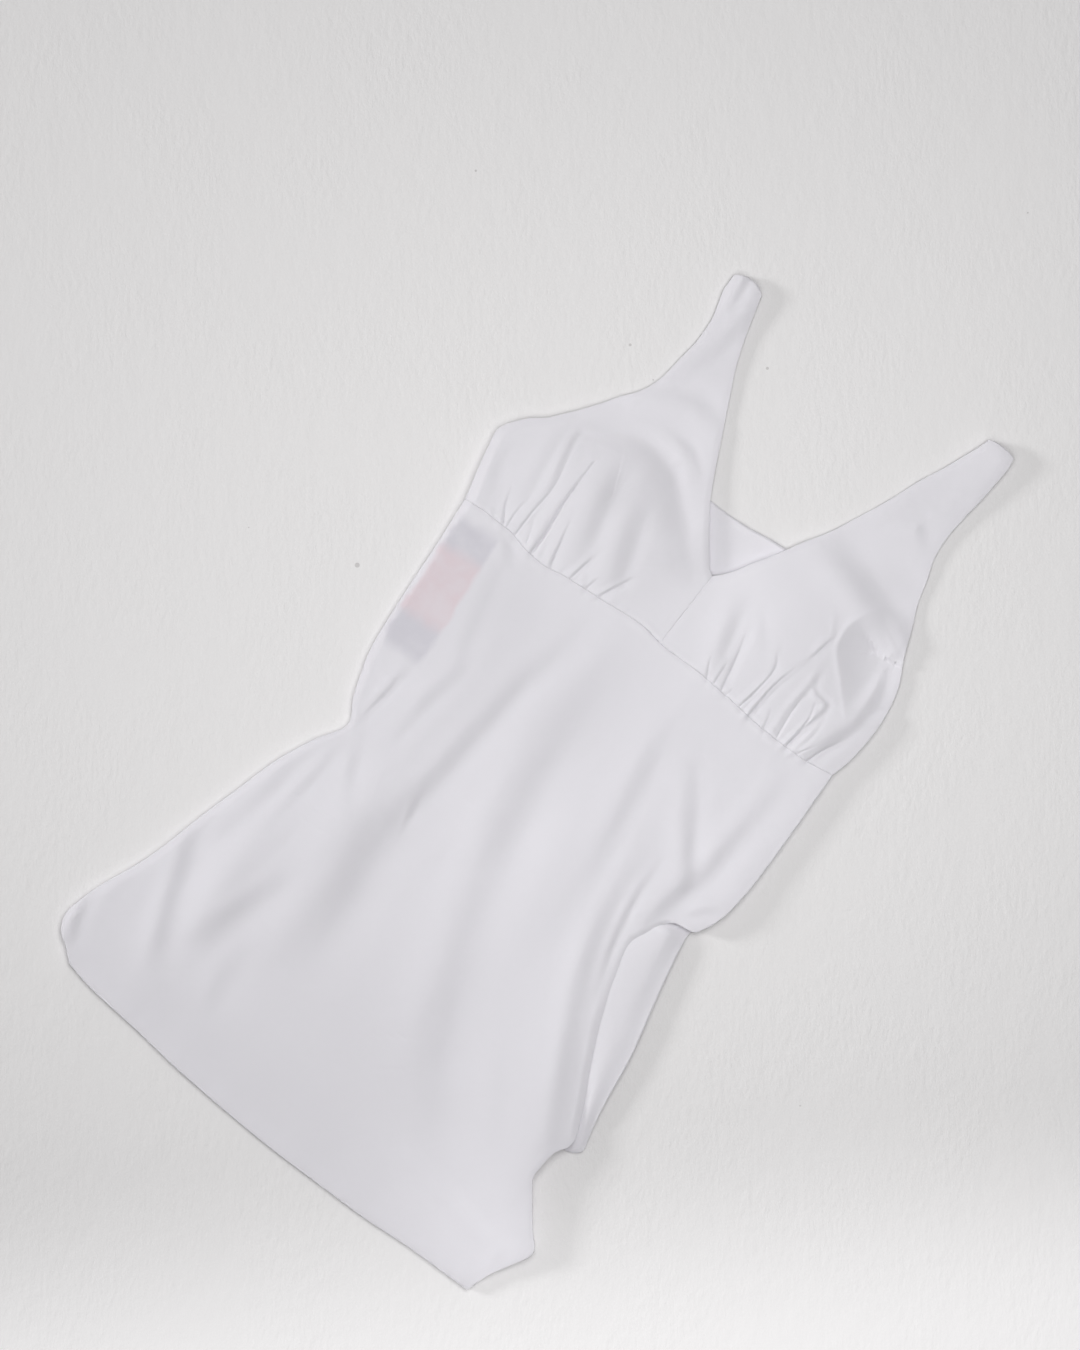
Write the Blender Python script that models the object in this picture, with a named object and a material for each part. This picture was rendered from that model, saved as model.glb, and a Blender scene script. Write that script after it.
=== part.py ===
"""A short, plain house dress, lying face up on a flat surface.

The dress lies with its straps toward +Y and its front up, and its underside is at z = 0. Left and right
are as seen from above with the straps at the top. Every table is in millimetres. The origin is below the
middle of the dress's bounding box.

Each front piece is a wall of cloth over a height field. The height is a low loft, plus the domes of the
bust pieces and the raised places, plus the folds and gathers, and it rolls down toward the outer edges.
"""
from collections import namedtuple

import bpy
import numpy as np

MM = 0.001
EDGE_COLUMNS = 2

# Driving sizes
WALL = 1.3
GAP = 0.3
HEM_Y = -382.0
STRAP_TOP_Y = 468.0
LEFT_REACH = -256.0
RIGHT_REACH = 233.0
LABEL_LENGTH = 122.0
LABEL_WIDTH = 37.0
LABEL_THICKNESS = 0.5
LABEL_MIDDLE = (-174.5, 80.0)
LABEL_LEAN = 5.1

# Heights that follow from them: the back lies on the ground, and the front lies on the back.
BACK_TOP = WALL
FRONT_TOP = BACK_TOP + GAP + WALL
CENTRE = ((LEFT_REACH + RIGHT_REACH) / 2, (HEM_Y + STRAP_TOP_Y) / 2)

# How much of the local height an edge keeps: a side is folded down onto the back, a free edge stands up.
SIDE = 0.0
STRAP_END = 0.15
ARMHOLE = 0.3
NECK = 0.45
HEM = 0.5
SEATED_SHARE = 0.02
STRAP_END_ROLL = 10.0
HEM_ROLL = 5.0

# How many points the measured edges are read at
SIDE_POINTS = 90
EDGE_POINTS = 60
STRAP_END_POINTS = 9

# A section of the skirt's front: its two side edges with the width of the roll along each, and two lines
# that the cloth's threads follow, along the long crease and along the deep fold.
Skirt = namedtuple("Skirt", "y left left_roll crease fold right right_roll")
SKIRT = (
    Skirt(156, -205, 8, -60, 90, 184, 10),
    Skirt(100, -200, 8, -65, 90, 187, 14),
    Skirt(50, -196, 8, -70, 93, 188.5, 15),
    Skirt(22, -193, 8, -75, 97, 187, 14),
    Skirt(5, -190.5, 8, -77, 99, 184, 11),
    Skirt(-9, -187, 7, -79, 101, 178.5, 8),
    Skirt(-17, -184, 7, -80, 102, 173, 6),
    Skirt(-20.5, -183, 7, -81, 102, 156.5, 5),
    Skirt(-38, -176.5, 6, -85, 104, 145.5, 5),
    Skirt(-58, -166, 5, -91, 106, 138, 5),
    Skirt(-85, -180, 7, -98, 115, 144, 5),
    Skirt(-120, -195, 8, -101, 129, 156, 6),
    Skirt(-160, -206, 8, -98, 151, 175, 6),
    Skirt(-200, -217, 8, -92, 172, 195, 7),
    Skirt(-222, -222, 8, -87, 182, 202, 8),
    Skirt(-238, -226, 8, -85, 181, 194, 10),
    Skirt(-260, -233, 9, -82, 176, 192.5, 13),
    Skirt(-280, -241, 9, -80, 187, 205, 15),
    Skirt(-300, -249, 9, -78, 202, 221, 16),
    Skirt(-315, -253, 9, -77, 212, RIGHT_REACH, 15),
    Skirt(-335, LEFT_REACH, 8, -76, 207, 224, 12),
    Skirt(-352, -251, 7, -75, 200, 215, 9),
    Skirt(-364, -238, 6, -74, 196, 211, 7),
    Skirt(-372, -228, 6, -74, 194, 209, 7),
)
SKIRT_COLUMNS = (12, 13, 8)
LEFT_RIM_STEPS = (1.5, 4.5)
RIGHT_RIM_STEPS = (1.3, 4.0)
SKIRT_ROWS = (
    (156, -17, 14.5), (-17, -21, 4), (-21, -101, 8), (-101, -238, 14), (-238, -315, 13), (-315, -335, 10),
    (-335, -372, 9),
)

# The seam under the bust, the hem and the back's own neckline, as y along x.
Along = namedtuple("Along", "x y")
BUST_SEAM = (
    Along(-205, 153), Along(-180, 155), Along(-160, 155), Along(-140, 151), Along(-120, 149.5),
    Along(-100, 153), Along(-60, 157), Along(-20, 161), Along(5, 158), Along(40, 159),
    Along(80, 157), Along(120, 154.5), Along(150, 155), Along(184, 160),
)
HEM_LINE = (
    Along(-240, -361), Along(-200, -369), Along(-150, -373), Along(-100, -378), Along(-40, -381),
    Along(0, HEM_Y), Along(60, -381), Along(100, -380), Along(150, -376), Along(210, -374),
)
BACK_NECK = (Along(-60, 280.5), Along(-27, 280.5), Along(0, 282.5), Along(20, 286), Along(48, 288.5))
BUST_SEAM_Y = 156
HEM_LINE_Y = -372
NECK_BOTTOM_Y = 230
SEAM_REACH = 40.0
NECK_REACH = 30.0
HEM_REACH = 55.0

# A section of a bust piece and its strap: the armhole side, the neck side and the columns between them.
# A roll of 0 marks the seam down the middle.
Bust = namedtuple("Bust", "y armhole armhole_roll armhole_rise neck neck_roll columns")
LEFT_BUST = (
    Bust(156, -205, 9, SIDE, 0, 0, 36),
    Bust(180, -212, 9, SIDE, 0, 0, 36),
    Bust(200, -217, 9, SIDE, 0, 0, 36),
    Bust(216, -220, 9, SIDE, 0, 0, 36),
    Bust(222, -218, 9, SIDE, 0, 0, 36),
    Bust(230, -213, 9, ARMHOLE, -0.5, 6, 36),
    Bust(234, -210, 9, ARMHOLE, -6, 6, 34),
    Bust(240, -205, 9, ARMHOLE, -11, 6, 32),
    Bust(250, -193, 8, ARMHOLE, -19, 6, 30),
    Bust(260, -185, 8, ARMHOLE, -27, 6, 26),
    Bust(270, -177, 8, ARMHOLE, -34, 6, 24),
    Bust(280, -170, 7, ARMHOLE, -41, 6, 22),
    Bust(290, -163, 7, ARMHOLE, -46.5, 6, 20),
    Bust(300, -157, 6, ARMHOLE, -52, 6, 18),
    Bust(315, -146, 6, ARMHOLE, -59.5, 6, 16),
    Bust(325, -141, 6, ARMHOLE, -64.5, 6, 14),
    Bust(340, -137, 6, ARMHOLE, -72, 6, 13),
    Bust(360, -135, 6, ARMHOLE, -82, 6, 12),
    Bust(380, -133, 6, ARMHOLE, -92, 7, 11),
    Bust(400, -134, 6, ARMHOLE, -100, 7, 10),
    Bust(415, -138, 6, ARMHOLE, -105, 8, 10),
    Bust(430, -142, 6, ARMHOLE, -109.5, 9, 10),
    Bust(441, -142.5, 6, ARMHOLE, -113, 9, 10),
)
RIGHT_BUST = (
    Bust(156, 184, 9, SIDE, 0, 0, 36),
    Bust(170, 187, 10, SIDE, 0, 0, 36),
    Bust(185, 189, 11, SIDE, 0, 0, 36),
    Bust(210, 190, 12, SIDE, 0, 0, 36),
    Bust(225, 189, 12, SIDE, 0, 0, 36),
    Bust(230, 188.4, 12, ARMHOLE, 0.5, 6, 36),
    Bust(236, 187.6, 11, ARMHOLE, 5.5, 6, 34),
    Bust(243, 186, 11, ARMHOLE, 11, 6, 32),
    Bust(250, 184, 10, ARMHOLE, 15, 6, 30),
    Bust(260, 180, 10, ARMHOLE, 20.5, 6, 28),
    Bust(270, 174, 9, ARMHOLE, 27, 6, 26),
    Bust(282, 168, 9, ARMHOLE, 33.5, 6, 23),
    Bust(300, 161, 8, ARMHOLE, 43, 6, 20),
    Bust(320, 152, 8, ARMHOLE, 55, 6, 17),
    Bust(340, 146, 7, ARMHOLE, 64, 6, 14),
    Bust(360, 139, 7, ARMHOLE, 73, 6, 12),
    Bust(380, 137, 7, ARMHOLE, 81, 6, 11),
    Bust(400, 138, 7, ARMHOLE, 88, 6, 10),
    Bust(420, 140, 7, ARMHOLE, 97, 6, 9),
    Bust(440, 141, 8, ARMHOLE, 105, 6, 9),
    Bust(456, 141.5, 9, ARMHOLE, 111, 6, 9),
    Bust(464, 140, 9, ARMHOLE, 113.5, 6, 9),
)
BUST_ROWS = ((156, 230, 7.4), (230, 262, 6.4), (262, 342, 11.5), (342, 424, 16.4))
STRAP_TOP_SPACING = 8.0

# The small steps beside a bust piece's edges on a narrow strap, and what is added to them on a wide row
RIM_STEPS_LEAST = (0.2, 0.4)
RIM_STEPS_MORE = (1.3, 4.2)
WIDE_ROW = 70.0

# How far the rounded end of a strap stands out at its sides and at its middle, and how square it is
STRAP_END_SIDE = 1.5
STRAP_END_MIDDLE = {"left": 8.0, "right": 4.0}
STRAP_END_SHAPE = 0.7

# A section of the back: how far its outer edges lie inside those of the front, and the inner edges of the
# straps or, below them, two lines that run down from the corners of the neckline.
Back = namedtuple("Back", "y inset inner_left inner_right")
BACK = (
    Back(-372, 0.6, -60, 55),
    Back(216, 0.6, -60, 55),
    Back(236, 2.5, -58, 51),
    Back(260, 3.5, -57, 48),
    Back(284, 4.0, -60, 48),
    Back(300, 4.0, -66, 54),
    Back(325, 4.0, -78, 67),
    Back(360, 4.0, -90, 82),
    Back(400, 4.0, -104, 95),
    Back(430, 4.0, -113, 107),
    Back(438, 4.0, -116, 110),
)
BACK_NECK_Y = 284.0
BACK_HEM_INSET = 3.0
BACK_COLUMNS = (2, 4, 2)
BACK_STRIP_COLUMNS = 5
BACK_ROWS = (
    (-372, -335, 12), (-335, -315, 20), (-315, -240, 19), (-240, -222, 6), (-222, -102, 12),
    (-102, -22, 9), (-22, -16, 6), (-16, 156, 28), (156, 216, 30), (216, 284, 17), (284, 438, 19),
)

# The strip of the back that shows to the right of the front of the skirt: its outer edge, the crest of
# the roll that it stands up in, and the crest's height. Its left foot runs along the edge of the front.
Strip = namedtuple("Strip", "y edge crest height")
STRIP = (
    Strip(-16, 173, 170, 0.0),
    Strip(-22, 171.5, 164, 3.0),
    Strip(-34, 173, 160, 8.5),
    Strip(-58, 178, 159, 11.0),
    Strip(-83, 184, 163, 12.0),
    Strip(-135, 197, 177, 12.0),
    Strip(-186, 205, 192, 10.0),
    Strip(-206, 210, 203, 7.0),
    Strip(-222, 214, 209, 3.5),
    Strip(-228, 209, 206, 2.0),
    Strip(-234, 192, 190, 0.0),
)
STRIP_FOOT = 1.0
STRIP_LEAST = 8.0
STRIP_COLUMNS_TOP = 60.0

# Loft of the whole front over the back.
Loft = namedtuple("Loft", "y height")
LOFT = (
    Loft(-382, 3.5), Loft(-350, 4.5), Loft(-300, 6.0), Loft(-180, 7.5), Loft(-58, 7.0), Loft(60, 7.0),
    Loft(150, 7.0), Loft(200, 6.0), Loft(240, 4.5), Loft(300, 3.5), Loft(370, 2.6), Loft(440, 3.0),
    Loft(470, 4.0),
)

# The least loft, and how softly the cloth levels out there.
LEAST_LOFT = 0.3
LOFT_SOFTNESS = 1.6

# Domes of the bust pieces, and other broad places that stand up or sink: middle, spread and height.
Mound = namedtuple("Mound", "x y across along height")
MOUNDS = (
    Mound(-112, 216, 52, 36, 14.0),
    Mound(80, 236, 50, 42, 13.0),
    Mound(176, 238, 8, 34, 2.0),
    Mound(-80, -130, 34, 60, 3.0),
    Mound(-118, 448, 20, 38, 4.0),
    Mound(130, 466, 24, 44, 5.0),
    Mound(178, 90, 30, 80, 1.0),
    Mound(170, 14, 15, 24, 3.0),
    Mound(214, -290, 38, 42, 6.0),
    Mound(188, -248, 26, 34, 6.0),
    Mound(148, -125, 36, 85, 4.5),
    Mound(150, -230, 30, 45, 4.0),
    Mound(-112, -10, 22, 70, 3.0),
    Mound(40, -30, 30, 110, 4.0),
    Mound(-168, -240, 14, 60, 5.0),
    Mound(-246, -310, 10, 30, 2.0),
    Mound(0, 238, 15, 16, -3.0),
)

# Folds and gathers. Each path runs down or to the right, and the cloth falls across it by the drop, from
# a crest on its lower left to a trough on its upper right. The drop is given at even steps along the path.
# Lead and after are the distances from the path to the crest and to the trough.
Fold = namedtuple("Fold", "drop lead after path")
LEFT_GATHERS = (
    Fold((0.0, 0.6, 0.7), 3.0, 3.0, ((-184, 166), (-181, 161), (-178, 156))),
    Fold((0.0, 0.8, 1.1), 3.0, 3.0, ((-182, 187), (-175, 169), (-168, 156))),
    Fold((0.0, 0.8, 1.0), 3.0, 3.0, ((-162, 190), (-162.5, 172), (-163, 156))),
    Fold((0.7, 2.0, 2.2), 5.0, 4.0, ((-163, 250), (-153, 205), (-153, 156))),
    Fold((0.0, 0.7, 1.0), 3.0, 3.0, ((-151, 178), (-147, 168), (-143, 157))),
    Fold((1.0, 3.5, 3.5), 6.0, 5.0, ((-137, 245), (-137, 200), (-133, 153))),
    Fold((0.0, 0.7, 1.0), 3.0, 3.0, ((-130, 174), (-128, 163), (-125, 152))),
    Fold((0.3, 1.8, 2.1), 4.0, 3.5, ((-125, 197), (-119, 174), (-114, 153))),
    Fold((0.3, 1.5, 1.8), 4.0, 3.5, ((-88, 192), (-90, 175), (-93, 156))),
    Fold((0.0, 0.6, 0.8), 3.0, 3.0, ((-89, 170), (-84, 163), (-81, 157))),
    Fold((0.0, 0.6, 0.7), 3.0, 3.0, ((-75, 171), (-76, 165), (-77, 158))),
    Fold((0.3, 1.5, 1.8), 4.0, 3.5, ((-51, 190), (-58, 173), (-65, 158))),
)
RIGHT_GATHERS = (
    Fold((0.0, 0.6, 0.9), 3.0, 3.0, ((38, 181), (43, 170), (48, 160))),
    Fold((0.0, 1.1, 1.4), 3.5, 3.0, ((54, 184), (55, 173), (57, 160))),
    Fold((0.3, 1.7, 2.1), 4.5, 3.5, ((51, 214), (58, 189), (65, 160))),
    Fold((0.0, 0.4, 0.6), 3.0, 2.5, ((73, 167), (72, 162), (71, 158))),
    Fold((0.3, 1.8, 2.0), 4.5, 3.5, ((82, 216), (91, 192), (88, 158))),
    Fold((1.0, 2.5, 2.5), 5.0, 4.0, ((111, 250), (101, 200), (96, 157))),
    Fold((0.0, 0.6, 0.8), 3.0, 2.5, ((108, 173), (111, 165), (113, 156))),
    Fold((0.3, 1.5, 1.5), 4.0, 3.0, ((120, 193), (121, 174), (123, 156))),
    Fold((0.0, 0.5, 0.6), 2.5, 2.5, ((131, 172), (130, 164), (129, 157))),
    Fold((0.6, 2.7, 2.7), 5.0, 4.0, ((121, 217), (139, 192), (138, 156))),
    Fold((0.3, 1.5, 1.5), 3.5, 3.0, ((147, 197), (149, 176), (146, 157))),
    Fold((0.0, 0.8, 1.1), 3.0, 2.5, ((158, 170), (154, 163), (150, 156))),
    Fold((0.7, 2.7, 2.7), 5.0, 4.0, ((164, 216), (171, 184), (160, 157))),
)
BUST_FOLDS = (
    Fold((1.4, 4.6, 4.4, 2.0), 13.0, 7.0, ((-118, 262), (-112, 232), (-103, 198), (-95, 170))),
    Fold((0.8, 3.8, 3.4), 12.0, 7.0, ((-84, 247), (-74, 214), (-61, 178))),
    Fold((0.8, 4.4, 5.0, 5.0, 4.4, 2.8, 0.4), 19.0, 7.0,
         ((-148, 262), (-118, 279), (-88, 279), (-66, 267), (-46, 249), (-27, 229), (-14, 208))),
    Fold((0.6, 2.0, 0.2), 7.0, 4.0, ((-106, 305), (-80, 303), (-58, 289))),
    Fold((2.0, 3.2, 1.6), 9.0, 8.0, ((-150, 314), (-128, 328), (-104, 339), (-72, 335))),
    Fold((0.4, 1.6, 0.4), 8.0, 7.0, ((-206, 214), (-200, 186), (-190, 160))),
    Fold((2.4, 2.0, 0.0), 4.0, 4.0, ((-133, 450), (-130, 432), (-128, 412))),
    Fold((1.6, 2.0, 0.4), 7.0, 7.0, ((-110, 425), (-115, 385), (-127, 346))),
    Fold((0.8, 2.8, 1.6), 9.0, 8.0, ((32, 234), (40, 203), (53, 170))),
    Fold((0.2, 1.2, 0.2), 5.0, 5.0, ((48, 232), (60, 220), (72, 205))),
    Fold((1.6, 4.6, 5.2, 4.8, 3.0), 10.0, 14.0, ((54, 309), (82, 305), (108, 298), (132, 290), (160, 279))),
    Fold((3.0, 9.0, 9.0, 7.0, 4.0), 2.6, 34.0, ((130, 285), (121, 266), (125, 247), (142, 231), (161, 210))),
    Fold((-0.4, -1.8, -2.0, -1.0), 5.0, 4.0, ((152, 280), (158, 260), (162, 235), (163, 210))),
    Fold((0.4, 1.8, 0.6), 8.0, 6.0, ((36, 222), (44, 195), (54, 168))),
    Fold((0.8, 2.4, 0.8), 6.0, 6.0, ((96, 360), (112, 372), (126, 360))),
)
SKIRT_FOLDS = (
    Fold((1.0, 2.7, 2.9, 2.9, 1.0), 10.0, 9.0, ((-62, 112), (-73, 60), (-76, 0), (-81, -60), (-86, -100))),
    Fold((0.8, 7.2, 6.8, 1.0), 24.0, 18.0, ((-82, -60), (-91, -120), (-84, -180), (-79, -250))),
    Fold((0.0, 1.3, 0.0), 3.5, 3.0, ((-82, -66), (-77, -86), (-71, -108))),
    Fold((1.0, 2.6, 1.2), 8.0, 6.0, ((-118, 38), (-125, 0), (-128, -42))),
    Fold((0.5, 1.3, 1.3, 0.4), 8.0, 7.0, ((-150, 140), (-140, 100), (-131, 60), (-118, 30))),
    Fold((1.0, 2.4, 3.8, 4.4, 0.8), 18.0, 17.0, ((-26, 145), (-25, 80), (-19, 20), (-8, -40), (2, -80))),
    Fold((1.2, 3.8, 4.3, 3.8, 2.9, 0.8), 19.0, 20.0,
         ((-8, -40), (2, -75), (14, -120), (36, -180), (66, -240), (125, -296))),
    Fold((0.5, 2.4, 1.8, 0.4), 10.0, 9.0, ((46, 110), (56, 60), (68, 0), (76, -40))),
    Fold((1.0, 2.9, 2.2, 1.2), 9.0, 7.0, ((88, 92), (112, 56), (136, 25), (143, 8))),
    Fold((0.8, 2.6, 3.6, 2.0), 8.0, 7.0, ((154, 128), (150, 60), (146, 22), (136, -30))),
    Fold((0.6, 1.8, 3.4, 4.6, 4.8, 4.4, 2.4), 9.0, 16.0,
         ((92, 34), (95, 2), (103, -40), (109, -68), (129, -122), (160, -180), (187, -230))),
    Fold((0.4, 1.8, 1.6, 0.3), 4.0, 3.5, ((113, 10), (117, -30), (126, -70), (141, -110))),
    Fold((0.8, 2.4, 0.4), 4.5, 3.5, ((-155, 6), (-157, -20), (-160, -50))),
    Fold((0.8, 2.0, 0.4), 6.0, 6.0, ((-163, 150), (-151, 142), (-137, 132))),
    Fold((0.6, 2.4, 0.8), 8.0, 8.0, ((-177, -72), (-184, -135), (-195, -202))),
    Fold((0.6, 2.0, 0.4), 6.0, 5.0, ((-159, -75), (-163, -120), (-168, -168))),
    Fold((1.6, 3.8, 3.5, 2.9, 0.8), 8.0, 7.0,
         ((-220, -205), (-207, -235), (-195, -270), (-184, -300), (-176, -318))),
    Fold((0.6, 2.4, 3.0, 0.6), 9.0, 8.0, ((-128, -165), (-136, -205), (-146, -240), (-155, -282))),
    Fold((0.4, 2.6, 0.4), 7.0, 11.0, ((-124, -260), (-118, -295), (-112, -325))),
    Fold((0.6, 2.0, 0.4), 6.0, 6.0, ((-151, -62), (-140, -88), (-124, -114))),
    Fold((0.6, 2.4, 0.6), 4.5, 6.0, ((-248, -286), (-247, -316), (-237, -345))),
    Fold((0.4, 1.4, 0.4), 6.0, 6.0, ((100, -307), (150, -318), (202, -327))),
    Fold((0.4, 1.3, 0.4), 11.0, 11.0, ((108, -198), (134, -240), (164, -286))),
    Fold((0.6, 2.8, 2.4), 3.5, 3.0, ((154, -11), (164, -1), (175, 6), (185, 10))),
)
FOLDS = LEFT_GATHERS + RIGHT_GATHERS + BUST_FOLDS + SKIRT_FOLDS
FOLD_END = 5.0
PATH_STEPS = 16
CREST_FACTOR = np.exp(-0.5)

CLOTH_COLOUR = (0.80, 0.80, 0.82, 1.0)
CLOTH_ROUGHNESS = 0.9
LABEL_COLOUR = (0.66, 0.66, 0.70, 1.0)
LABEL_ROUGHNESS = 0.8

# Lengths closer than this count as the same
TOUCH = 0.01


def column_of(rows, name):
    return np.array([getattr(row, name) for row in rows], dtype=float)


def read(rows, name, at, key="y"):
    """The value of a table's column at a place, along a smooth curve with no overshoot."""
    places = column_of(rows, key)
    values = column_of(rows, name)
    order = np.argsort(places)
    places = places[order]
    values = values[order]
    steps = np.diff(places)
    rises = np.diff(values) / steps
    slopes = np.zeros(len(places))
    slopes[0] = rises[0]
    slopes[-1] = rises[-1]
    same_way = rises[:-1] * rises[1:] > 0
    weight_before = 2 * steps[1:] + steps[:-1]
    weight_after = steps[1:] + 2 * steps[:-1]
    safe_before = np.where(same_way, rises[:-1], 1.0)
    safe_after = np.where(same_way, rises[1:], 1.0)
    mean = (weight_before + weight_after) / (weight_before / safe_before + weight_after / safe_after)
    slopes[1:-1] = np.where(same_way, mean, 0.0)
    at = np.clip(np.asarray(at, dtype=float), places[0], places[-1])
    part = np.clip(np.searchsorted(places, at, side="right") - 1, 0, len(steps) - 1)
    t = (at - places[part]) / steps[part]
    rest = 1 - t
    ends = values[part] * (1 + 2 * t) * rest**2 + values[part + 1] * t**2 * (3 - 2 * t)
    return ends + steps[part] * t * rest * (slopes[part] * rest - slopes[part + 1] * t)


def smooth_path(points, steps=PATH_STEPS):
    """Points along a smooth curve through a path's own points, with each one's place from 0 to 1."""
    points = np.array(points, dtype=float)
    before = 2 * points[0] - points[1]
    beyond = 2 * points[-1] - points[-2]
    knots = np.vstack([before, points, beyond])
    pieces = len(points) - 1
    place = np.linspace(0, 1, steps + 1)
    at = place * pieces
    part = np.minimum(at.astype(int), pieces - 1)
    t = (at - part)[:, None]
    a, b, c, d = (knots[part + shift] for shift in range(4))
    curve = 0.5 * (2 * b + (c - a) * t + (2 * a - 5 * b + 4 * c - d) * t**2 + (3 * b - a - 3 * c + d) * t**3)
    return curve, place


def nearest_on(curve, points):
    """For each point: the nearest place on a line of points, its side and how far past an end it is."""
    starts = curve[:-1]
    runs = curve[1:] - starts
    lengths = np.linalg.norm(runs, axis=1)
    ways = runs / lengths[:, None]
    from_start = points[:, None, :] - starts[None]
    along = np.einsum("psk,sk->ps", from_start, ways)
    side = ways[None, :, 0] * from_start[:, :, 1] - ways[None, :, 1] * from_start[:, :, 0]
    kept = np.clip(along, 0, lengths)
    away = np.hypot(along - kept, side)
    best = np.argmin(away, axis=1)
    row = np.arange(len(points))
    return best, kept[row, best] / lengths[best], side[row, best], (along - kept)[row, best]


def fold_height(fold, points):
    """What one fold adds: a crest on its lower left and a trough on its upper right."""
    curve, place = smooth_path(fold.path)
    best, part, side, beyond = nearest_on(curve, points)
    at = place[best] + part * (place[1] - place[0])
    drop = np.interp(at, np.linspace(0, 1, len(fold.drop)), fold.drop)
    spread = np.where(side > 0, fold.after, fold.lead)
    steepness = drop / ((fold.lead + fold.after) * CREST_FACTOR)
    fade = np.exp(-0.5 * (beyond / FOLD_END) ** 2)
    return -steepness * side * np.exp(-0.5 * (side / spread) ** 2) * fade


def bust_seam_y(x):
    return read(BUST_SEAM, "y", x, key="x")


def hem_y(x):
    return read(HEM_LINE, "y", x, key="x")


def strap_end_y(table, across):
    """The rounded end of a strap, as y at a share of the way from its armhole edge to its neck edge."""
    middle = STRAP_END_MIDDLE["left" if table[-1].neck < 0 else "right"]
    bulge = np.sin(np.pi * across) ** STRAP_END_SHAPE
    return table[-1].y + STRAP_END_SIDE + (middle - STRAP_END_SIDE) * bulge


def rolled_edges():
    """The outer edges of the front, as runs of points with the roll and the height kept at each."""
    runs = []
    skirt_y = np.linspace(HEM_LINE_Y, BUST_SEAM_Y, SIDE_POINTS)
    sides = np.full(SIDE_POINTS, SIDE)
    for side in ("left", "right"):
        x = read(SKIRT, side, skirt_y)
        runs.append((np.column_stack([x, skirt_y]), read(SKIRT, side + "_roll", skirt_y), sides))
    hem_x = np.linspace(SKIRT[-1].left, SKIRT[-1].right, EDGE_POINTS)
    hem = np.column_stack([hem_x, hem_y(hem_x)])
    runs.append((hem, np.full(EDGE_POINTS, HEM_ROLL), np.full(EDGE_POINTS, HEM)))
    for table in (LEFT_BUST, RIGHT_BUST):
        y = np.linspace(BUST_SEAM_Y, table[-1].y, EDGE_POINTS)
        x = read(table, "armhole", y)
        rises = read(table, "armhole_rise", y)
        runs.append((np.column_stack([x, y]), read(table, "armhole_roll", y), rises))
        y = np.linspace(NECK_BOTTOM_Y, table[-1].y, EDGE_POINTS)
        x = read(table, "neck", y)
        runs.append((np.column_stack([x, y]), read(table, "neck_roll", y), np.full(EDGE_POINTS, NECK)))
        across = np.linspace(0, 1, STRAP_END_POINTS)
        x = table[-1].armhole + (table[-1].neck - table[-1].armhole) * across
        end = np.column_stack([x, strap_end_y(table, across)])
        rises = np.full(STRAP_END_POINTS, STRAP_END)
        runs.append((end, np.full(STRAP_END_POINTS, STRAP_END_ROLL), rises))
    return runs


def share_of_height(points):
    """The share of its height that the cloth keeps near the outer edges."""
    share = np.ones(len(points))
    for curve, rolls, rises in rolled_edges():
        best, part, side, beyond = nearest_on(curve, points)
        roll = rolls[best] + part * (rolls[best + 1] - rolls[best])
        rise = rises[best] + part * (rises[best + 1] - rises[best])
        inward = np.clip(np.hypot(side, beyond) / roll, 0, 1)
        rounded = np.sqrt(1 - (1 - inward) ** 2)
        share = np.minimum(share, rise + (1 - rise) * rounded)
    return share


def front_height(points):
    """Height of the front's upper face, in millimetres, at points of the plan."""
    loft = read(LOFT, "height", points[:, 1])
    for mound in MOUNDS:
        across = (points[:, 0] - mound.x) / mound.across
        along = (points[:, 1] - mound.y) / mound.along
        loft = loft + mound.height * np.exp(-0.5 * (across**2 + along**2))
    for fold in FOLDS:
        loft = loft + fold_height(fold, points)
    over = loft - LEAST_LOFT
    loft = LEAST_LOFT + 0.5 * (over + np.sqrt(over**2 + LOFT_SOFTNESS**2))
    return FRONT_TOP + loft * share_of_height(points)


def front_edge(side, y):
    """The outer edge of the whole front, on the skirt or on a bust piece."""
    bust = LEFT_BUST if side == "left" else RIGHT_BUST
    return np.where(np.asarray(y) < BUST_SEAM_Y, read(SKIRT, side, y), read(bust, "armhole", y))


def back_edge(side, y):
    """The outer edge of the back: just inside the front's, but for the strip that shows."""
    inset = read(BACK, "inset", y)
    if side == "left":
        return front_edge("left", y) + inset
    beside_strip = (np.asarray(y) <= STRIP[0].y) & (np.asarray(y) >= STRIP[-1].y)
    strip = np.where(beside_strip, read(STRIP, "edge", y), LEFT_REACH)
    return np.maximum(front_edge("right", y) - inset, strip)


def back_height(points):
    """Height of the back's upper face: flat, but for the roll of the strip."""
    foot = read(SKIRT, "right", points[:, 1]) + STRIP_FOOT
    crest = read(STRIP, "crest", points[:, 1])
    height = read(STRIP, "height", points[:, 1])
    edge = back_edge("right", points[:, 1])
    rising = np.clip((points[:, 0] - foot) / np.maximum(crest - foot, 1.0), 0, 1)
    falling = np.clip((edge - points[:, 0]) / np.maximum(edge - crest, 1.0), 0, 1)
    on_strip = (points[:, 1] < STRIP[0].y) & (points[:, 1] > STRIP[-1].y)
    left_slope = rising**2 * (3 - 2 * rising)
    right_slope = np.sqrt(1 - (1 - falling) ** 2)
    return BACK_TOP + np.where(on_strip, height * np.minimum(left_slope, right_slope), 0.0)


def row_places(bands):
    """Places of the rows, from bands that each have a start, an end and a spacing."""
    places = [bands[0][0]]
    for start, end, spacing in bands:
        count = max(1, round(abs(end - start) / spacing))
        places += [start + (end - start) * step / count for step in range(1, count + 1)]
    return places


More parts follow.
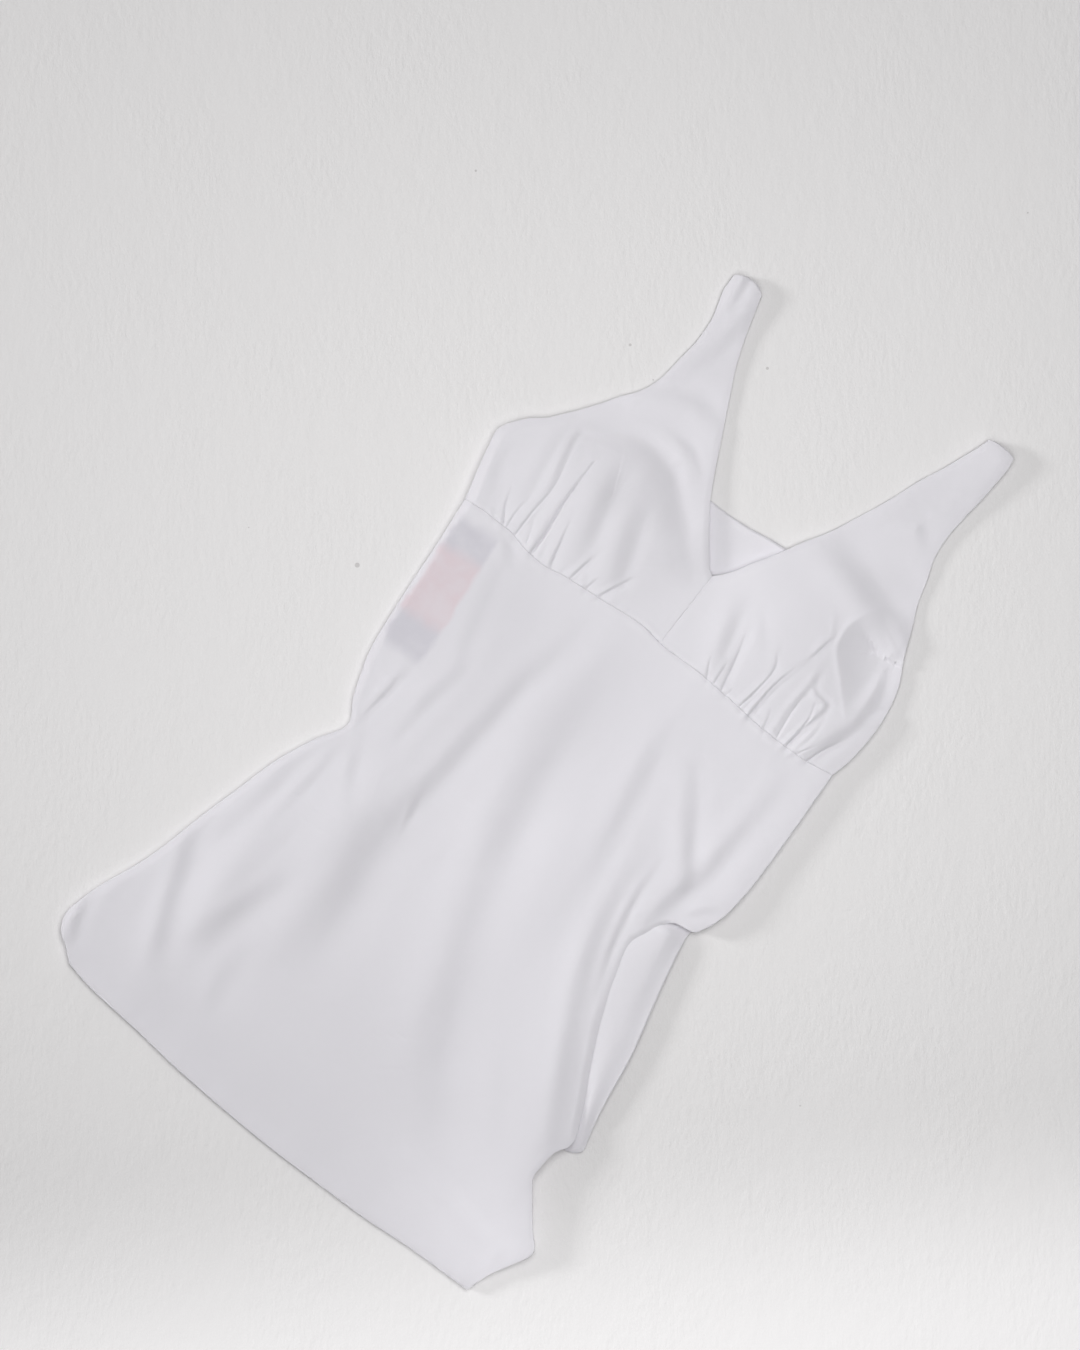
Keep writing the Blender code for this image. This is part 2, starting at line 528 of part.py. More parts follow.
def spread(start, end, count, start_steps=(), end_steps=()):
    """Places from start to end, with the named small steps at an outer edge and even ones between."""
    way = np.sign(end - start)
    head = [start + way * step for step in start_steps]
    tail = [end - way * step for step in reversed(end_steps)]
    inner_start = head[-1] if head else start
    inner_end = tail[0] if tail else end
    inner = np.linspace(inner_start, inner_end, count - len(head) - len(tail) + 1)
    if head:
        inner = np.concatenate([[start] + head[:-1], inner])
    if tail:
        inner = np.concatenate([inner, tail[1:] + [end]])
    return inner


def rim_steps(width):
    """Small steps beside an outer edge, narrower on a narrow strap."""
    share = min(1.0, width / WIDE_ROW)
    return tuple(least + more * share for least, more in zip(RIM_STEPS_LEAST, RIM_STEPS_MORE))


def skirt_grid():
    rows = []
    for y in row_places(SKIRT_ROWS):
        lines = [float(read(SKIRT, name, y)) for name in ("left", "crease", "fold", "right")]
        x = np.concatenate([
            spread(lines[0], lines[1], SKIRT_COLUMNS[0], start_steps=LEFT_RIM_STEPS)[:-1],
            spread(lines[1], lines[2], SKIRT_COLUMNS[1])[:-1],
            spread(lines[2], lines[3], SKIRT_COLUMNS[2], end_steps=RIGHT_RIM_STEPS),
        ])
        near_seam = max(0.0, 1 - (BUST_SEAM_Y - y) / SEAM_REACH)
        near_hem = max(0.0, 1 - (y - HEM_LINE_Y) / HEM_REACH)
        seam = bust_seam_y(x) - GAP / 2 - BUST_SEAM_Y
        hem = hem_y(x) - HEM_LINE_Y
        rows.append(np.column_stack([x, y + seam * near_seam + hem * near_hem]))
    return rows


def bust_grid(table):
    """Rows from the seam under the bust to the end of the strap."""
    side = np.sign(table[0].armhole)
    bands = BUST_ROWS + ((BUST_ROWS[-1][1], table[-1].y, STRAP_TOP_SPACING),)
    rows = []
    for y in row_places(bands):
        armhole = float(read(table, "armhole", y))
        neck = float(read(table, "neck", y))
        on_seam = y <= NECK_BOTTOM_Y
        if on_seam:
            neck = side * GAP / 2
        count = int(round(float(read(table, "columns", y))))
        steps = rim_steps(abs(armhole - neck))
        x = spread(armhole, neck, count, start_steps=steps, end_steps=() if on_seam else steps)
        near_seam = max(0.0, 1 - (y - BUST_SEAM_Y) / SEAM_REACH)
        seam = bust_seam_y(x) + GAP / 2 - BUST_SEAM_Y
        rows.append(np.column_stack([x, y + seam * near_seam]))
    last = rows[-1]
    across = np.abs(last[:, 0] - table[-1].armhole) / abs(table[-1].neck - table[-1].armhole)
    rows.append(np.column_stack([last[:, 0], strap_end_y(table, np.clip(across, 0, 1))]))
    return [row if side < 0 else row[::-1] for row in rows]


def zip_rows(lower, upper, points):
    """Triangles between two rows of point numbers, each time along the shorter diagonal.

    Beside the edges, and all along where the rows have as many points, point n meets point n.
    """
    faces = []
    i = 0
    j = 0
    last_i = len(lower) - 1
    last_j = len(upper) - 1
    while i < last_i or j < last_j:
        over_lower = np.inf
        over_upper = np.inf
        if i < last_i:
            over_lower = np.linalg.norm(points[lower[i + 1]] - points[upper[j]])
        if j < last_j:
            over_upper = np.linalg.norm(points[lower[i]] - points[upper[j + 1]])
        from_left = i == j and i < EDGE_COLUMNS
        from_right = last_i - i == last_j - j and last_i - i <= EDGE_COLUMNS
        paired = from_left or from_right or last_i == last_j
        if paired and over_lower <= over_upper:
            faces.append((lower[i], lower[i + 1], upper[j]))
            faces.append((lower[i + 1], upper[j + 1], upper[j]))
            i += 1
            j += 1
        elif paired:
            faces.append((lower[i], upper[j + 1], upper[j]))
            faces.append((lower[i], lower[i + 1], upper[j + 1]))
            i += 1
            j += 1
        elif over_lower <= over_upper:
            faces.append((lower[i], lower[i + 1], upper[j]))
            i += 1
        else:
            faces.append((lower[i], upper[j + 1], upper[j]))
            j += 1
    return faces


def weave(rows):
    """Joins rows of plan points, listed from the hem up and from left to right, into triangles."""
    points = np.vstack(rows)
    numbers = []
    first = 0
    for row in rows:
        numbers.append(list(range(first, first + len(row))))
        first += len(row)
    faces = []
    for lower, upper in zip(numbers[:-1], numbers[1:]):
        faces += zip_rows(lower, upper, points)
    return points, faces


def point_normals(corners, faces):
    corner = corners[np.array(faces)]
    across = np.cross(corner[:, 1] - corner[:, 0], corner[:, 2] - corner[:, 0])
    normals = np.zeros_like(corners)
    for place in range(3):
        np.add.at(normals, np.array(faces)[:, place], across)
    return normals / np.linalg.norm(normals, axis=1)[:, None]


def cloth_wall(upper, faces, upright=(), seated=()):
    """A closed wall below an upper face.

    The points named upright go straight down, as at a seam. Those named seated come down until the wall
    rests on the back.
    """
    normals = point_normals(upper, faces)
    straight = np.array(sorted(upright), dtype=int)
    resting = np.array(sorted(seated), dtype=int)
    lower = upper - normals * WALL
    lower[straight] = upper[straight] - np.array([0.0, 0.0, WALL])
    drop = lower[resting, 2] - (BACK_TOP + GAP)
    upper[resting, 2] -= drop
    lower[resting, 2] -= drop
    lower[:, 2] = np.maximum(lower[:, 2], 0.0)
    count = len(upper)
    walls = [tuple(face) for face in faces]
    walls += [tuple(corner + count for corner in reversed(face)) for face in faces]
    edges = {}
    for face in faces:
        for a, b in zip(face, face[1:] + face[:1]):
            edges[(a, b)] = True
    for a, b in edges:
        if (b, a) not in edges:
            walls.append((b, a, a + count))
            walls.append((b, a + count, b + count))
    return np.vstack([upper, lower]), walls


def add_piece(name, corners, faces, material):
    """One object from corners in the dress's own millimetres."""
    placed = (corners - np.array([CENTRE[0], CENTRE[1], 0.0])) * MM
    mesh = bpy.data.meshes.new(name)
    mesh.from_pydata([tuple(corner) for corner in placed], [], faces)
    mesh.validate()
    mesh.materials.append(material)
    mesh.shade_smooth()
    piece = bpy.data.objects.new(name, mesh)
    bpy.context.scene.collection.objects.link(piece)
    return piece


def cloth_material(name, colour, roughness):
    material = bpy.data.materials.new(name)
    material.use_nodes = True
    surface = material.node_tree.nodes["Principled BSDF"]
    surface.inputs["Base Color"].default_value = colour
    surface.inputs["Roughness"].default_value = roughness
    surface.inputs["Metallic"].default_value = 0.0
    return material


def front_piece(name, rows, seam_points, material):
    plan, faces = weave(rows)
    upper = np.column_stack([plan, front_height(plan)])
    seated = np.flatnonzero(share_of_height(plan) < SEATED_SHARE)
    corners, walls = cloth_wall(upper, faces, upright=seam_points, seated=seated)
    return add_piece(name, corners, walls, material)


def build_skirt(material):
    rows = skirt_grid()[::-1]
    total = sum(len(row) for row in rows)
    seam_points = range(total - len(rows[-1]), total)
    return front_piece("front_skirt", rows, seam_points, material)


def build_bust(name, table, material):
    """A bust piece with its strap: its lowest row is on the seam, and so is its middle up to the neck."""
    rows = bust_grid(table)
    seam_points = set(range(len(rows[0])))
    first = 0
    for row in rows:
        middle = len(row) - 1 if table[0].armhole < 0 else 0
        if abs(row[middle, 0]) <= GAP / 2 + TOUCH:
            seam_points.add(first + middle)
        first += len(row)
    return front_piece(name, rows, seam_points, material)


def back_neck_y(x):
    return read(BACK_NECK, "y", x, key="x")


def back_row(y):
    """Places across the back: left strap or side, middle, right strap or side, and the strip's roll."""
    left = float(back_edge("left", y))
    right = float(back_edge("right", y))
    inner_left = float(read(BACK, "inner_left", y))
    inner_right = float(read(BACK, "inner_right", y))
    foot = (inner_right + right) / 2
    if y < STRIP_COLUMNS_TOP:
        foot = min(float(read(SKIRT, "right", y)) + STRIP_FOOT, right - STRIP_LEAST)
    corners = (left, inner_left, inner_right, foot, right)
    counts = BACK_COLUMNS + (BACK_STRIP_COLUMNS,)
    parts = [np.linspace(start, end, count + 1)[:-1] for start, end, count
             in zip(corners[:-1], corners[1:], counts)]
    return np.concatenate(parts + [[right]])


def build_back(material):
    """The back and its straps in one piece, with the gap of the neck between the straps."""
    rows = []
    neck_rows = []
    for y in row_places(BACK_ROWS):
        x = back_row(y)
        near_hem = max(0.0, 1 - (y - HEM_LINE_Y) / HEM_REACH)
        moved = (hem_y(x) + BACK_HEM_INSET - HEM_LINE_Y) * near_hem
        near_neck = max(0.0, 1 - abs(y - BACK_NECK_Y) / NECK_REACH)
        moved = moved + (back_neck_y(x) - BACK_NECK_Y) * near_neck
        rows.append(np.column_stack([x, y + moved]))
        neck_rows.append(y > BACK_NECK_Y - TOUCH)
    points = np.vstack(rows)
    width = len(rows[0])
    strap_left = BACK_COLUMNS[0]
    strap_right = BACK_COLUMNS[0] + BACK_COLUMNS[1]
    faces = []
    for row in range(len(rows) - 1):
        lower = [row * width + column for column in range(width)]
        upper = [number + width for number in lower]
        if neck_rows[row]:
            faces += zip_rows(lower[:strap_left + 1], upper[:strap_left + 1], points)
            faces += zip_rows(lower[strap_right:], upper[strap_right:], points)
        else:
            faces += zip_rows(lower, upper, points)
    used = sorted({corner for face in faces for corner in face})
    number = {old: new for new, old in enumerate(used)}
    faces = [tuple(number[corner] for corner in face) for face in faces]
    plan = points[used]
    upper = np.column_stack([plan, back_height(plan)])
    flat = np.flatnonzero(upper[:, 2] < BACK_TOP + TOUCH)
    corners, walls = cloth_wall(upper, faces, upright=flat)
    return add_piece("back", corners, walls, material)


def build_label(material):
    """A plain care label on the back, with its edge at the left side seam."""
    lean = np.radians(LABEL_LEAN)
    along = np.array([-np.sin(lean), np.cos(lean)]) * LABEL_LENGTH / 2
    across = np.array([np.cos(lean), np.sin(lean)]) * LABEL_WIDTH / 2
    middle = np.array(LABEL_MIDDLE)
    ring = [middle - across - along, middle + across - along, middle + across + along,
            middle - across + along]
    foot = BACK_TOP + GAP
    corners = np.array([(*point, height) for height in (foot, foot + LABEL_THICKNESS) for point in ring])
    faces = [(3, 2, 1, 0), (4, 5, 6, 7)]
    faces += [(side, (side + 1) % 4, (side + 1) % 4 + 4, side + 4) for side in range(4)]
    return add_piece("side_label", corners, faces, material)


def build_dress():
    for thing in list(bpy.data.objects):
        bpy.data.objects.remove(thing, do_unlink=True)
    cloth = cloth_material("cloth", CLOTH_COLOUR, CLOTH_ROUGHNESS)
    label = cloth_material("label", LABEL_COLOUR, LABEL_ROUGHNESS)
    build_back(cloth)
    build_label(label)
    build_skirt(cloth)
    build_bust("front_bust_left", LEFT_BUST, cloth)
    build_bust("front_bust_right", RIGHT_BUST, cloth)


build_dress()
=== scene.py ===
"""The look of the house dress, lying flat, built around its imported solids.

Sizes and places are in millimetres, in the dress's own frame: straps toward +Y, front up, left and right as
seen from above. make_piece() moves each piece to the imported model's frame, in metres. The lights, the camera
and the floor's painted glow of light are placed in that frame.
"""
from collections import namedtuple
from operator import attrgetter

import bpy
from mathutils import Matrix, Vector
import numpy as np


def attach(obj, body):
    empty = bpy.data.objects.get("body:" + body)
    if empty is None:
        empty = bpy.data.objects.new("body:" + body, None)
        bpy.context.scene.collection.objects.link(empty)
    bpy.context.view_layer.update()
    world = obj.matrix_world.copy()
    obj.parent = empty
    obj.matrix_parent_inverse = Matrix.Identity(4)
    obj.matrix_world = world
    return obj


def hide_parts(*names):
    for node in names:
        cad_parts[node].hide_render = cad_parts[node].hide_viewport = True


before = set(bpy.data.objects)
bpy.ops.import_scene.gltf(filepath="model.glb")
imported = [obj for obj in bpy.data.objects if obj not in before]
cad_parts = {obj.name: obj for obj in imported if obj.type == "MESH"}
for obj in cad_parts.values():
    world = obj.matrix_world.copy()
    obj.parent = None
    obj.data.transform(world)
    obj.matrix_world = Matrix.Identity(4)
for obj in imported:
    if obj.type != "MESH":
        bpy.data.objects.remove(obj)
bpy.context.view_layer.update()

MM = 0.001


def table(columns, *rows):
    """Rows of values under named columns."""
    row = namedtuple("Row", columns)
    return tuple(row(*values) for values in rows)


# Driving sizes, as in the solids
WALL = 1.3
GAP = 0.3
HEM_Y = -382.0
STRAP_TOP_Y = 468.0
LEFT_REACH = -256.0
RIGHT_REACH = 233.0
BACK_TOP = WALL
FRONT_TOP = BACK_TOP + GAP + WALL
CENTRE = ((LEFT_REACH + RIGHT_REACH) / 2, (HEM_Y + STRAP_TOP_Y) / 2)
BUST_SEAM_Y = 156
HEM_LINE_Y = -372
NECK_BOTTOM_Y = 230
SEAM_REACH = 40.0
NECK_REACH = 30.0
HEM_REACH = 55.0

# The share of the local height that an edge keeps, and the height of the cloth where it keeps none
LEFT_SIDE = 0.7
RIGHT_SIDE = 0.97
STRAP_END = 0.85
LEFT_ARMHOLE = 0.82
RIGHT_ARMHOLE = 0.92
NECK = 0.86
HEM = 0.85
EDGE_TOP = 1.7
# Beside the strip of the back that shows, the skirt's edge keeps this share instead
OVER_STRIP = 0.73
# That change starts this far below the strip's top, and takes these lengths at the strip's top and foot
OVER_STRIP_START = 2.0
OVER_STRIP_TOP = 8.0
OVER_STRIP_FOOT = 25.0
# From here up to the neck's lowest point, an edge changes from its side seam's share to its armhole's
LEFT_SIDE_TOP = 222
RIGHT_SIDE_TOP = 225
STRAP_END_ROLL = 10.0
HEM_ROLL = 5.0
# Points along the edges of the front, and how many batches its plan is worked out in, to save memory
SIDE_POINTS = 180
HEM_POINTS = 60
ARMHOLE_POINTS = 60
NECK_POINTS = 50
STRAP_END_POINTS = 9
BATCHES = 12

# How long the ends of a fold or crease fade, and how far away it is worked out: for a fold, in its widths
FOLD_END = 5.0
FOLD_WIDTHS = 4
CREASE_END = 1.5
CREASE_REACH = 12.0
PATH_STEPS = 16
CREST_FACTOR = np.exp(-0.5)

SKIRT = table(
    "y left left_roll crease fold right right_roll",
    (156, -205, 8, -60, 90, 184, 10),
    (100, -200, 8, -65, 90, 187, 14),
    (50, -196, 8, -70, 93, 188.5, 10),
    (22, -193, 8, -75, 97, 187, 10),
    (5, -190.5, 8, -77, 99, 184, 11),
    (-9, -187, 7, -79, 101, 178.5, 8),
    (-17, -184, 7, -80, 102, 173, 6),
    (-20.5, -183, 7, -81, 102, 156.5, 5),
    (-38, -176.5, 6, -85, 104, 145.5, 7),
    (-58, -166, 5, -91, 104, 138, 8),
    (-85, -180, 7, -98, 113, 144, 9),
    (-120, -195, 8, -101, 127, 156, 9),
    (-160, -206, 8, -98, 150, 175, 8),
    (-200, -217, 8, -92, 171, 195, 7),
    (-222, -222, 8, -87, 182, 202, 5),
    (-238, -226, 8, -85, 181, 194, 5),
    (-260, -233, 9, -82, 176, 192.5, 5),
    (-280, -241, 9, -80, 187, 205, 5),
    (-300, -249, 9, -78, 202, 221, 5),
    (-315, -253, 9, -77, 212, RIGHT_REACH, 5),
    (-335, LEFT_REACH, 8, -76, 207, 224, 5),
    (-352, -251, 7, -75, 200, 215, 5),
    (-364, -238, 6, -74, 196, 211, 5),
    (-372, -228, 6, -74, 194, 209, 5),
)
BUST_SEAM = table(
    "x y",
    (-205, 153), (-180, 155), (-160, 155), (-140, 151), (-120, 149.5),
    (-100, 153), (-60, 157), (-20, 161), (5, 158), (40, 159),
    (80, 157), (120, 154.5), (150, 155), (184, 160),
)
HEM_LINE = table(
    "x y",
    (-240, -361), (-200, -369), (-150, -373), (-100, -378), (-40, -381),
    (0, HEM_Y), (60, -381), (100, -380), (150, -376), (210, -374),
)
BACK_NECK = table("x y", (-60, 280.5), (-27, 280.5), (0, 282.5), (20, 286), (48, 288.5))
BUST_COLUMNS = "y armhole armhole_roll neck neck_roll"
LEFT_BUST = table(
    BUST_COLUMNS,
    (156, -205, 9, 0, 0),
    (180, -212, 9, 0, 0),
    (200, -217, 9, 0, 0),
    (216, -220, 9, 0, 0),
    (222, -218, 9, 0, 0),
    (230, -213, 9, -0.5, 6),
    (234, -210, 9, -6, 6),
    (240, -205, 9, -11, 6),
    (250, -193, 8, -19, 6),
    (260, -185, 8, -27, 6),
    (270, -177, 8, -34, 6),
    (280, -170, 7, -41, 6),
    (290, -163, 7, -46.5, 6),
    (300, -157, 6, -52, 6),
    (315, -146, 6, -59.5, 6),
    (325, -141, 6, -64.5, 6),
    (340, -137, 6, -72, 6),
    (360, -135, 6, -82, 6),
    (380, -133, 6, -92, 7),
    (400, -134, 6, -100, 7),
    (415, -138, 6, -105, 8),
    (430, -142, 6, -109.5, 9),
    (441, -142.5, 6, -113, 9),
)
RIGHT_BUST = table(
    BUST_COLUMNS,
    (156, 184, 9, 0, 0),
    (170, 187, 10, 0, 0),
    (185, 189, 11, 0, 0),
    (210, 190, 12, 0, 0),
    (225, 189, 12, 0, 0),
    (230, 188.4, 12, 0.5, 6),
    (236, 187.6, 11, 5.5, 6),
    (243, 186, 11, 11, 6),
    (250, 184, 10, 15, 6),
    (260, 180, 10, 20.5, 6),
    (270, 174, 9, 27, 6),
    (282, 168, 9, 33.5, 6),
    (300, 161, 8, 43, 6),
    (320, 152, 8, 55, 6),
    (340, 146, 7, 64, 6),
    (360, 139, 7, 73, 6),
    (380, 137, 7, 81, 6),
    (400, 138, 7, 88, 6),
    (420, 140, 7, 97, 6),
    (440, 141, 8, 105, 6),
    (456, 141.5, 9, 111, 6),
    (464, 140, 9, 113.5, 6),
)
STRAP_END_SIDE = 1.5
STRAP_END_MIDDLE = {"left": 8, "right": 4.0}
STRAP_END_ROUNDING = 0.7

# The back: how far its outer edges lie inside the front's, and the inner edges of its straps
BACK = table(
    "y inset inner_left inner_right",
    (-372, 0.6, -60, 55),
    (216, 0.6, -60, 55),
    (236, 2.5, -58, 51),
    (260, 3.5, -57, 48),
    (284, 4, -60, 48),
    (300, 4, -66, 54),
    (325, 4, -78, 67),
    (360, 4, -90, 82),
    (400, 4, -104, 95),
    (430, 4, -113, 107),
    (438, 4, -116, 110),
)
BACK_NECK_Y = 284.0
BACK_TOP_Y = 438.0

# The strip of the back that shows beside the skirt's right edge
STRIP = table(
    "y edge crest height end",
    (-16, 173, 168, 0, 0.5),
    (-22, 171.5, 160, 5, 0.45),
    (-34, 173, 156, 11, 0.58),
    (-58, 178, 158, 10.6, 0.68),
    (-83, 184, 163, 10.4, 0.72),
    (-135, 197, 176, 10.4, 0.74),
    (-186, 205, 194, 9.6, 0.74),
    (-206, 210, 203, 7, 0.66),
    (-222, 214, 209, 4, 0.66),
    (-228, 209, 206, 2, 0.66),
    (-234, 192, 190, 0, 0.66),
)
STRIP_FOOT = -2.0
# The share of its height that the strip has under the skirt's edge, and how far under the skirt it falls to
# the ground. The table's last column is the share at its own outer edge.
STRIP_START = 0.82
STRIP_UNDER = 25.0
LEAST_SLOPE = 1.0

LOFT = table(
    "y height",
    (-382, 3.5), (-350, 4.5), (-300, 6), (-180, 7.5), (-58, 7), (60, 7),
    (150, 7), (200, 6), (240, 4.2), (300, 2.8), (335, 2),
    (370, 1.5), (440, 3), (470, 4),
)
LEAST_LOFT = 0.3
LOFT_SOFTNESS = 1.6

# Broad places that stand up or sink: middle, spread and height
MOUNDS = table(
    "x y across along height",
    (-112, 216, 52, 36, 14),
    (80, 236, 50, 42, 13),
    (176, 238, 8, 34, 2),
    (-80, -130, 34, 60, 3),
    (-118, 448, 20, 38, 4),
    (130, 466, 24, 44, 5),
    (178, 90, 30, 80, 1),
    (184, 10, 18, 22, 3),
    (214, -290, 38, 42, 6),
    (188, -248, 26, 34, 4.5),
    (148, -125, 36, 85, 5),
    (150, -230, 30, 45, 4),
    (-112, -10, 22, 70, 3),
    (40, -30, 30, 110, 4),
    (-168, -240, 14, 60, 5),
    (-246, -310, 10, 30, 2),
    (0, 238, 15, 16, -3),
    (-212, 172, 28, 36, 5),
)

# Folds and gathers. Each path runs down or to the right, and the cloth falls across it by the drop, from
# a crest on its lower left to a trough on its upper right.
FOLD_COLUMNS = "drop lead after path"
LEFT_GATHERS = table(
    FOLD_COLUMNS,
    ((0, 0.4, 0.5), 2.5, 2, ((-184, 166), (-181, 161), (-178, 156))),
    ((0, 0.6, 0.7), 2.5, 2, ((-181, 188), (-175, 170), (-168, 156))),
    ((0, 0.6, 0.6), 2.5, 2, ((-162, 190), (-163, 172), (-163, 156))),
    ((0.4, 1.6, 1.9, 1.3, 1), 4, 3,
     ((-151, 264), (-164, 256), (-160, 230), (-153, 200), (-153, 156))),
    ((0.4, 1.6, 0.8), 7, 4, ((-173, 260), (-172, 225), (-166, 188))),
    ((0, 0.5, 0.6), 2.5, 2, ((-151, 178), (-147, 168), (-143, 157))),
    ((0.5, 1.5, 2.4), 4, 2.5, ((-138, 245), (-138, 200), (-133, 153))),
    ((0, 0.6, 0.7), 2.5, 2, ((-130, 174), (-128, 163), (-125, 152))),
    ((0.2, 1.1, 1.2), 3, 2.5, ((-125, 197), (-119, 174), (-114, 153))),
    ((0.2, 1.1, 1.2), 3, 2.5, ((-88, 192), (-90, 175), (-93, 156))),
    ((0, 0.5, 0.6), 2.5, 2, ((-89, 170), (-84, 163), (-81, 157))),
    ((0, 0.4, 0.6), 2.5, 2, ((-75, 171), (-76, 165), (-77, 158))),
    ((0.2, 1, 1.2), 2.5, 2, ((-50, 190), (-58, 173), (-65, 158))),
)
RIGHT_GATHERS = table(
    FOLD_COLUMNS,
    ((0, 0.5, 0.6), 2.5, 2, ((38, 181), (43, 170), (48, 160))),
    ((0, 0.7, 0.9), 2.5, 2, ((54, 184), (55, 173), (57, 160))),
    ((0.6, 1.9, 1.4), 4.5, 3, ((50, 218), (57, 190), (65, 160))),
    ((0, 0.4, 0.5), 2.5, 2, ((73, 167), (72, 162), (71, 158))),
    ((0.3, 1.1, 1.2), 3.5, 2.5, ((82, 216), (91, 192), (88, 158))),
    ((0.6, 1.2, 0.3), 3, 2.5, ((112, 249), (110, 236), (107, 222))),
    ((0.2, 1.7, 1.8), 3.5, 2.5, ((104, 211), (99, 188), (97, 157))),
    ((0, 0.5, 0.6), 2.5, 2, ((108, 173), (111, 165), (113, 156))),
    ((0.2, 1.6, 1.2, 1), 3, 3, ((122, 224), (122, 204), (121, 180), (123, 157))),
    ((0, 0.4, 0.5), 2.5, 2, ((131, 172), (130, 164), (129, 157))),
    ((0.4, 1.5, 1.9, 1.8, 1.6), 2.8, 2.6, ((124, 212), (130, 206), (143, 203), (142, 184), (138, 157))),
    ((0.2, 1.2, 1.2), 2.5, 2, ((147, 199), (149, 178), (146, 157))),
    ((0, 0.7, 0.9), 2.5, 2, ((158, 170), (154, 163), (150, 156))),
    ((0.4, 2.6, 3, 3.6, 2.8), 8, 5, ((160, 272), (171, 245), (174, 215), (169, 188), (158, 158))),
)
BUST_FOLDS = table(
    FOLD_COLUMNS,
    ((1.2, 4, 3.8, 1.8), 13, 7, ((-118, 262), (-112, 232), (-103, 198), (-95, 170))),
    ((0.8, 3.3, 2.9), 12, 7, ((-84, 247), (-74, 214), (-61, 178))),
    ((1, 4.6, 4.9, 4.3, 4, 2.4, 0), 20, 7,
     ((-150, 263), (-120, 279), (-91, 278), (-70, 264), (-50, 246), (-29, 227), (-12, 206))),
    ((0.6, 2, 0.2), 7, 4, ((-106, 305), (-80, 303), (-58, 289))),
    ((2, 3.2, 1.6), 9, 8, ((-150, 314), (-128, 328), (-104, 339), (-72, 335))),
    ((0.4, 1.6, 0.4), 8, 7, ((-206, 214), (-200, 186), (-190, 160))),
    ((2.4, 2, 0), 4, 4, ((-133, 450), (-130, 432), (-128, 412))),
    ((1.6, 2, 0.4), 7, 7, ((-110, 425), (-115, 385), (-127, 346))),
    ((0.8, 2.8, 1.6), 9, 8, ((32, 234), (40, 203), (53, 170))),
    ((0.2, 1.2, 0.2), 5, 5, ((48, 232), (60, 220), (72, 205))),
    ((2.2, 6.4, 7.6, 7.6, 5.6), 14, 22, ((54, 311), (82, 308), (108, 302), (132, 296), (162, 291))),
    ((2.8, 9.5, 9, 7, 4), 2.6, 34, ((128, 292), (119, 270), (122, 248), (139, 231), (161, 209))),
    ((-0.2, -1, -1.2, -0.6), 5, 4, ((156, 276), (161, 258), (165, 235), (167, 208))),
    ((0.4, 1.8, 0.6), 8, 6, ((36, 222), (44, 195), (54, 168))),
    ((0.8, 2.4, 0.8), 6, 6, ((96, 360), (112, 372), (126, 360))),
)
SKIRT_FOLDS = table(
    FOLD_COLUMNS,
    ((1, 3, 3.3, 3.2, 1), 10, 9, ((-62, 112), (-73, 60), (-76, 0), (-81, -60), (-86, -100))),
    ((0.8, 7.9, 7.5, 1.2), 24, 18, ((-82, -60), (-91, -120), (-84, -180), (-79, -250))),
    ((0, 1.3, 0), 3.5, 3, ((-82, -66), (-77, -86), (-71, -108))),
    ((1, 2.6, 1.2), 8, 6, ((-118, 38), (-125, 0), (-128, -42))),
    ((0.5, 1.3, 1.3, 0.4), 8, 7, ((-150, 140), (-140, 100), (-131, 60), (-118, 30))),
    ((1, 2.9, 5, 5.7, 1), 20, 17, ((-26, 145), (-25, 80), (-19, 20), (-8, -40), (2, -80))),
    ((1.2, 4.3, 4.9, 4.4, 3.3, 0.9), 19, 20,
     ((-8, -40), (2, -75), (14, -120), (36, -180), (66, -240), (125, -296))),
    ((0.5, 2.4, 1.8, 0.4), 10, 9, ((46, 110), (56, 60), (68, 0), (76, -40))),
    ((1, 2.9, 4, 2), 9, 7, ((88, 92), (112, 56), (134, 26), (142, 10))),
    ((0.8, 2.8, 4.6, 4, 2.4), 8, 9, ((154, 128), (151, 60), (149, 24), (142, -4), (137, -34))),
    ((0.6, 1.8, 3.4, 4.6, 4.8, 4.4, 2.4), 9, 16,
     ((92, 34), (95, 2), (103, -40), (109, -68), (129, -122), (160, -180), (187, -230))),
    ((0.4, 1.8, 1.6, 0.3), 4, 3.5, ((113, 10), (117, -30), (126, -70), (141, -110))),
    ((0.8, 2.4, 0.4), 4.5, 3.5, ((-155, 6), (-157, -20), (-160, -50))),
    ((0.8, 2, 0.4), 6, 6, ((-163, 150), (-151, 142), (-137, 132))),
    ((0.6, 2.4, 0.8), 8, 8, ((-177, -72), (-184, -135), (-195, -202))),
    ((0.6, 2, 0.4), 6, 5, ((-159, -75), (-163, -120), (-168, -168))),
    ((1.8, 4.8, 5.4, 5.4, 1.8), 8, 12,
     ((-219, -205), (-205, -235), (-192, -270), (-180, -300), (-172, -320))),
    ((0.6, 2.8, 3.4, 0.8), 9, 13, ((-126, -165), (-133, -205), (-143, -240), (-154, -282))),
    ((0.4, 1.8, 0.4), 7, 11, ((-124, -260), (-118, -295), (-112, -325))),
    ((0.6, 2, 0.4), 6, 6, ((-151, -62), (-140, -88), (-124, -114))),
    ((0.8, 3.6, 1.2), 4.5, 6, ((-249, -286), (-250, -316), (-240, -345))),
    ((0.8, 2.6, 0.8), 7, 7, ((94, -307), (150, -318), (206, -327))),
    ((0.4, 1.3, 0.4), 11, 11, ((108, -198), (134, -240), (164, -286))),
    ((-0.6, -2.2, -0.6), 4, 5, ((158, -10), (167, 0), (177, 8))),
)
FOLDS = LEFT_GATHERS + RIGHT_GATHERS + BUST_FOLDS + SKIRT_FOLDS

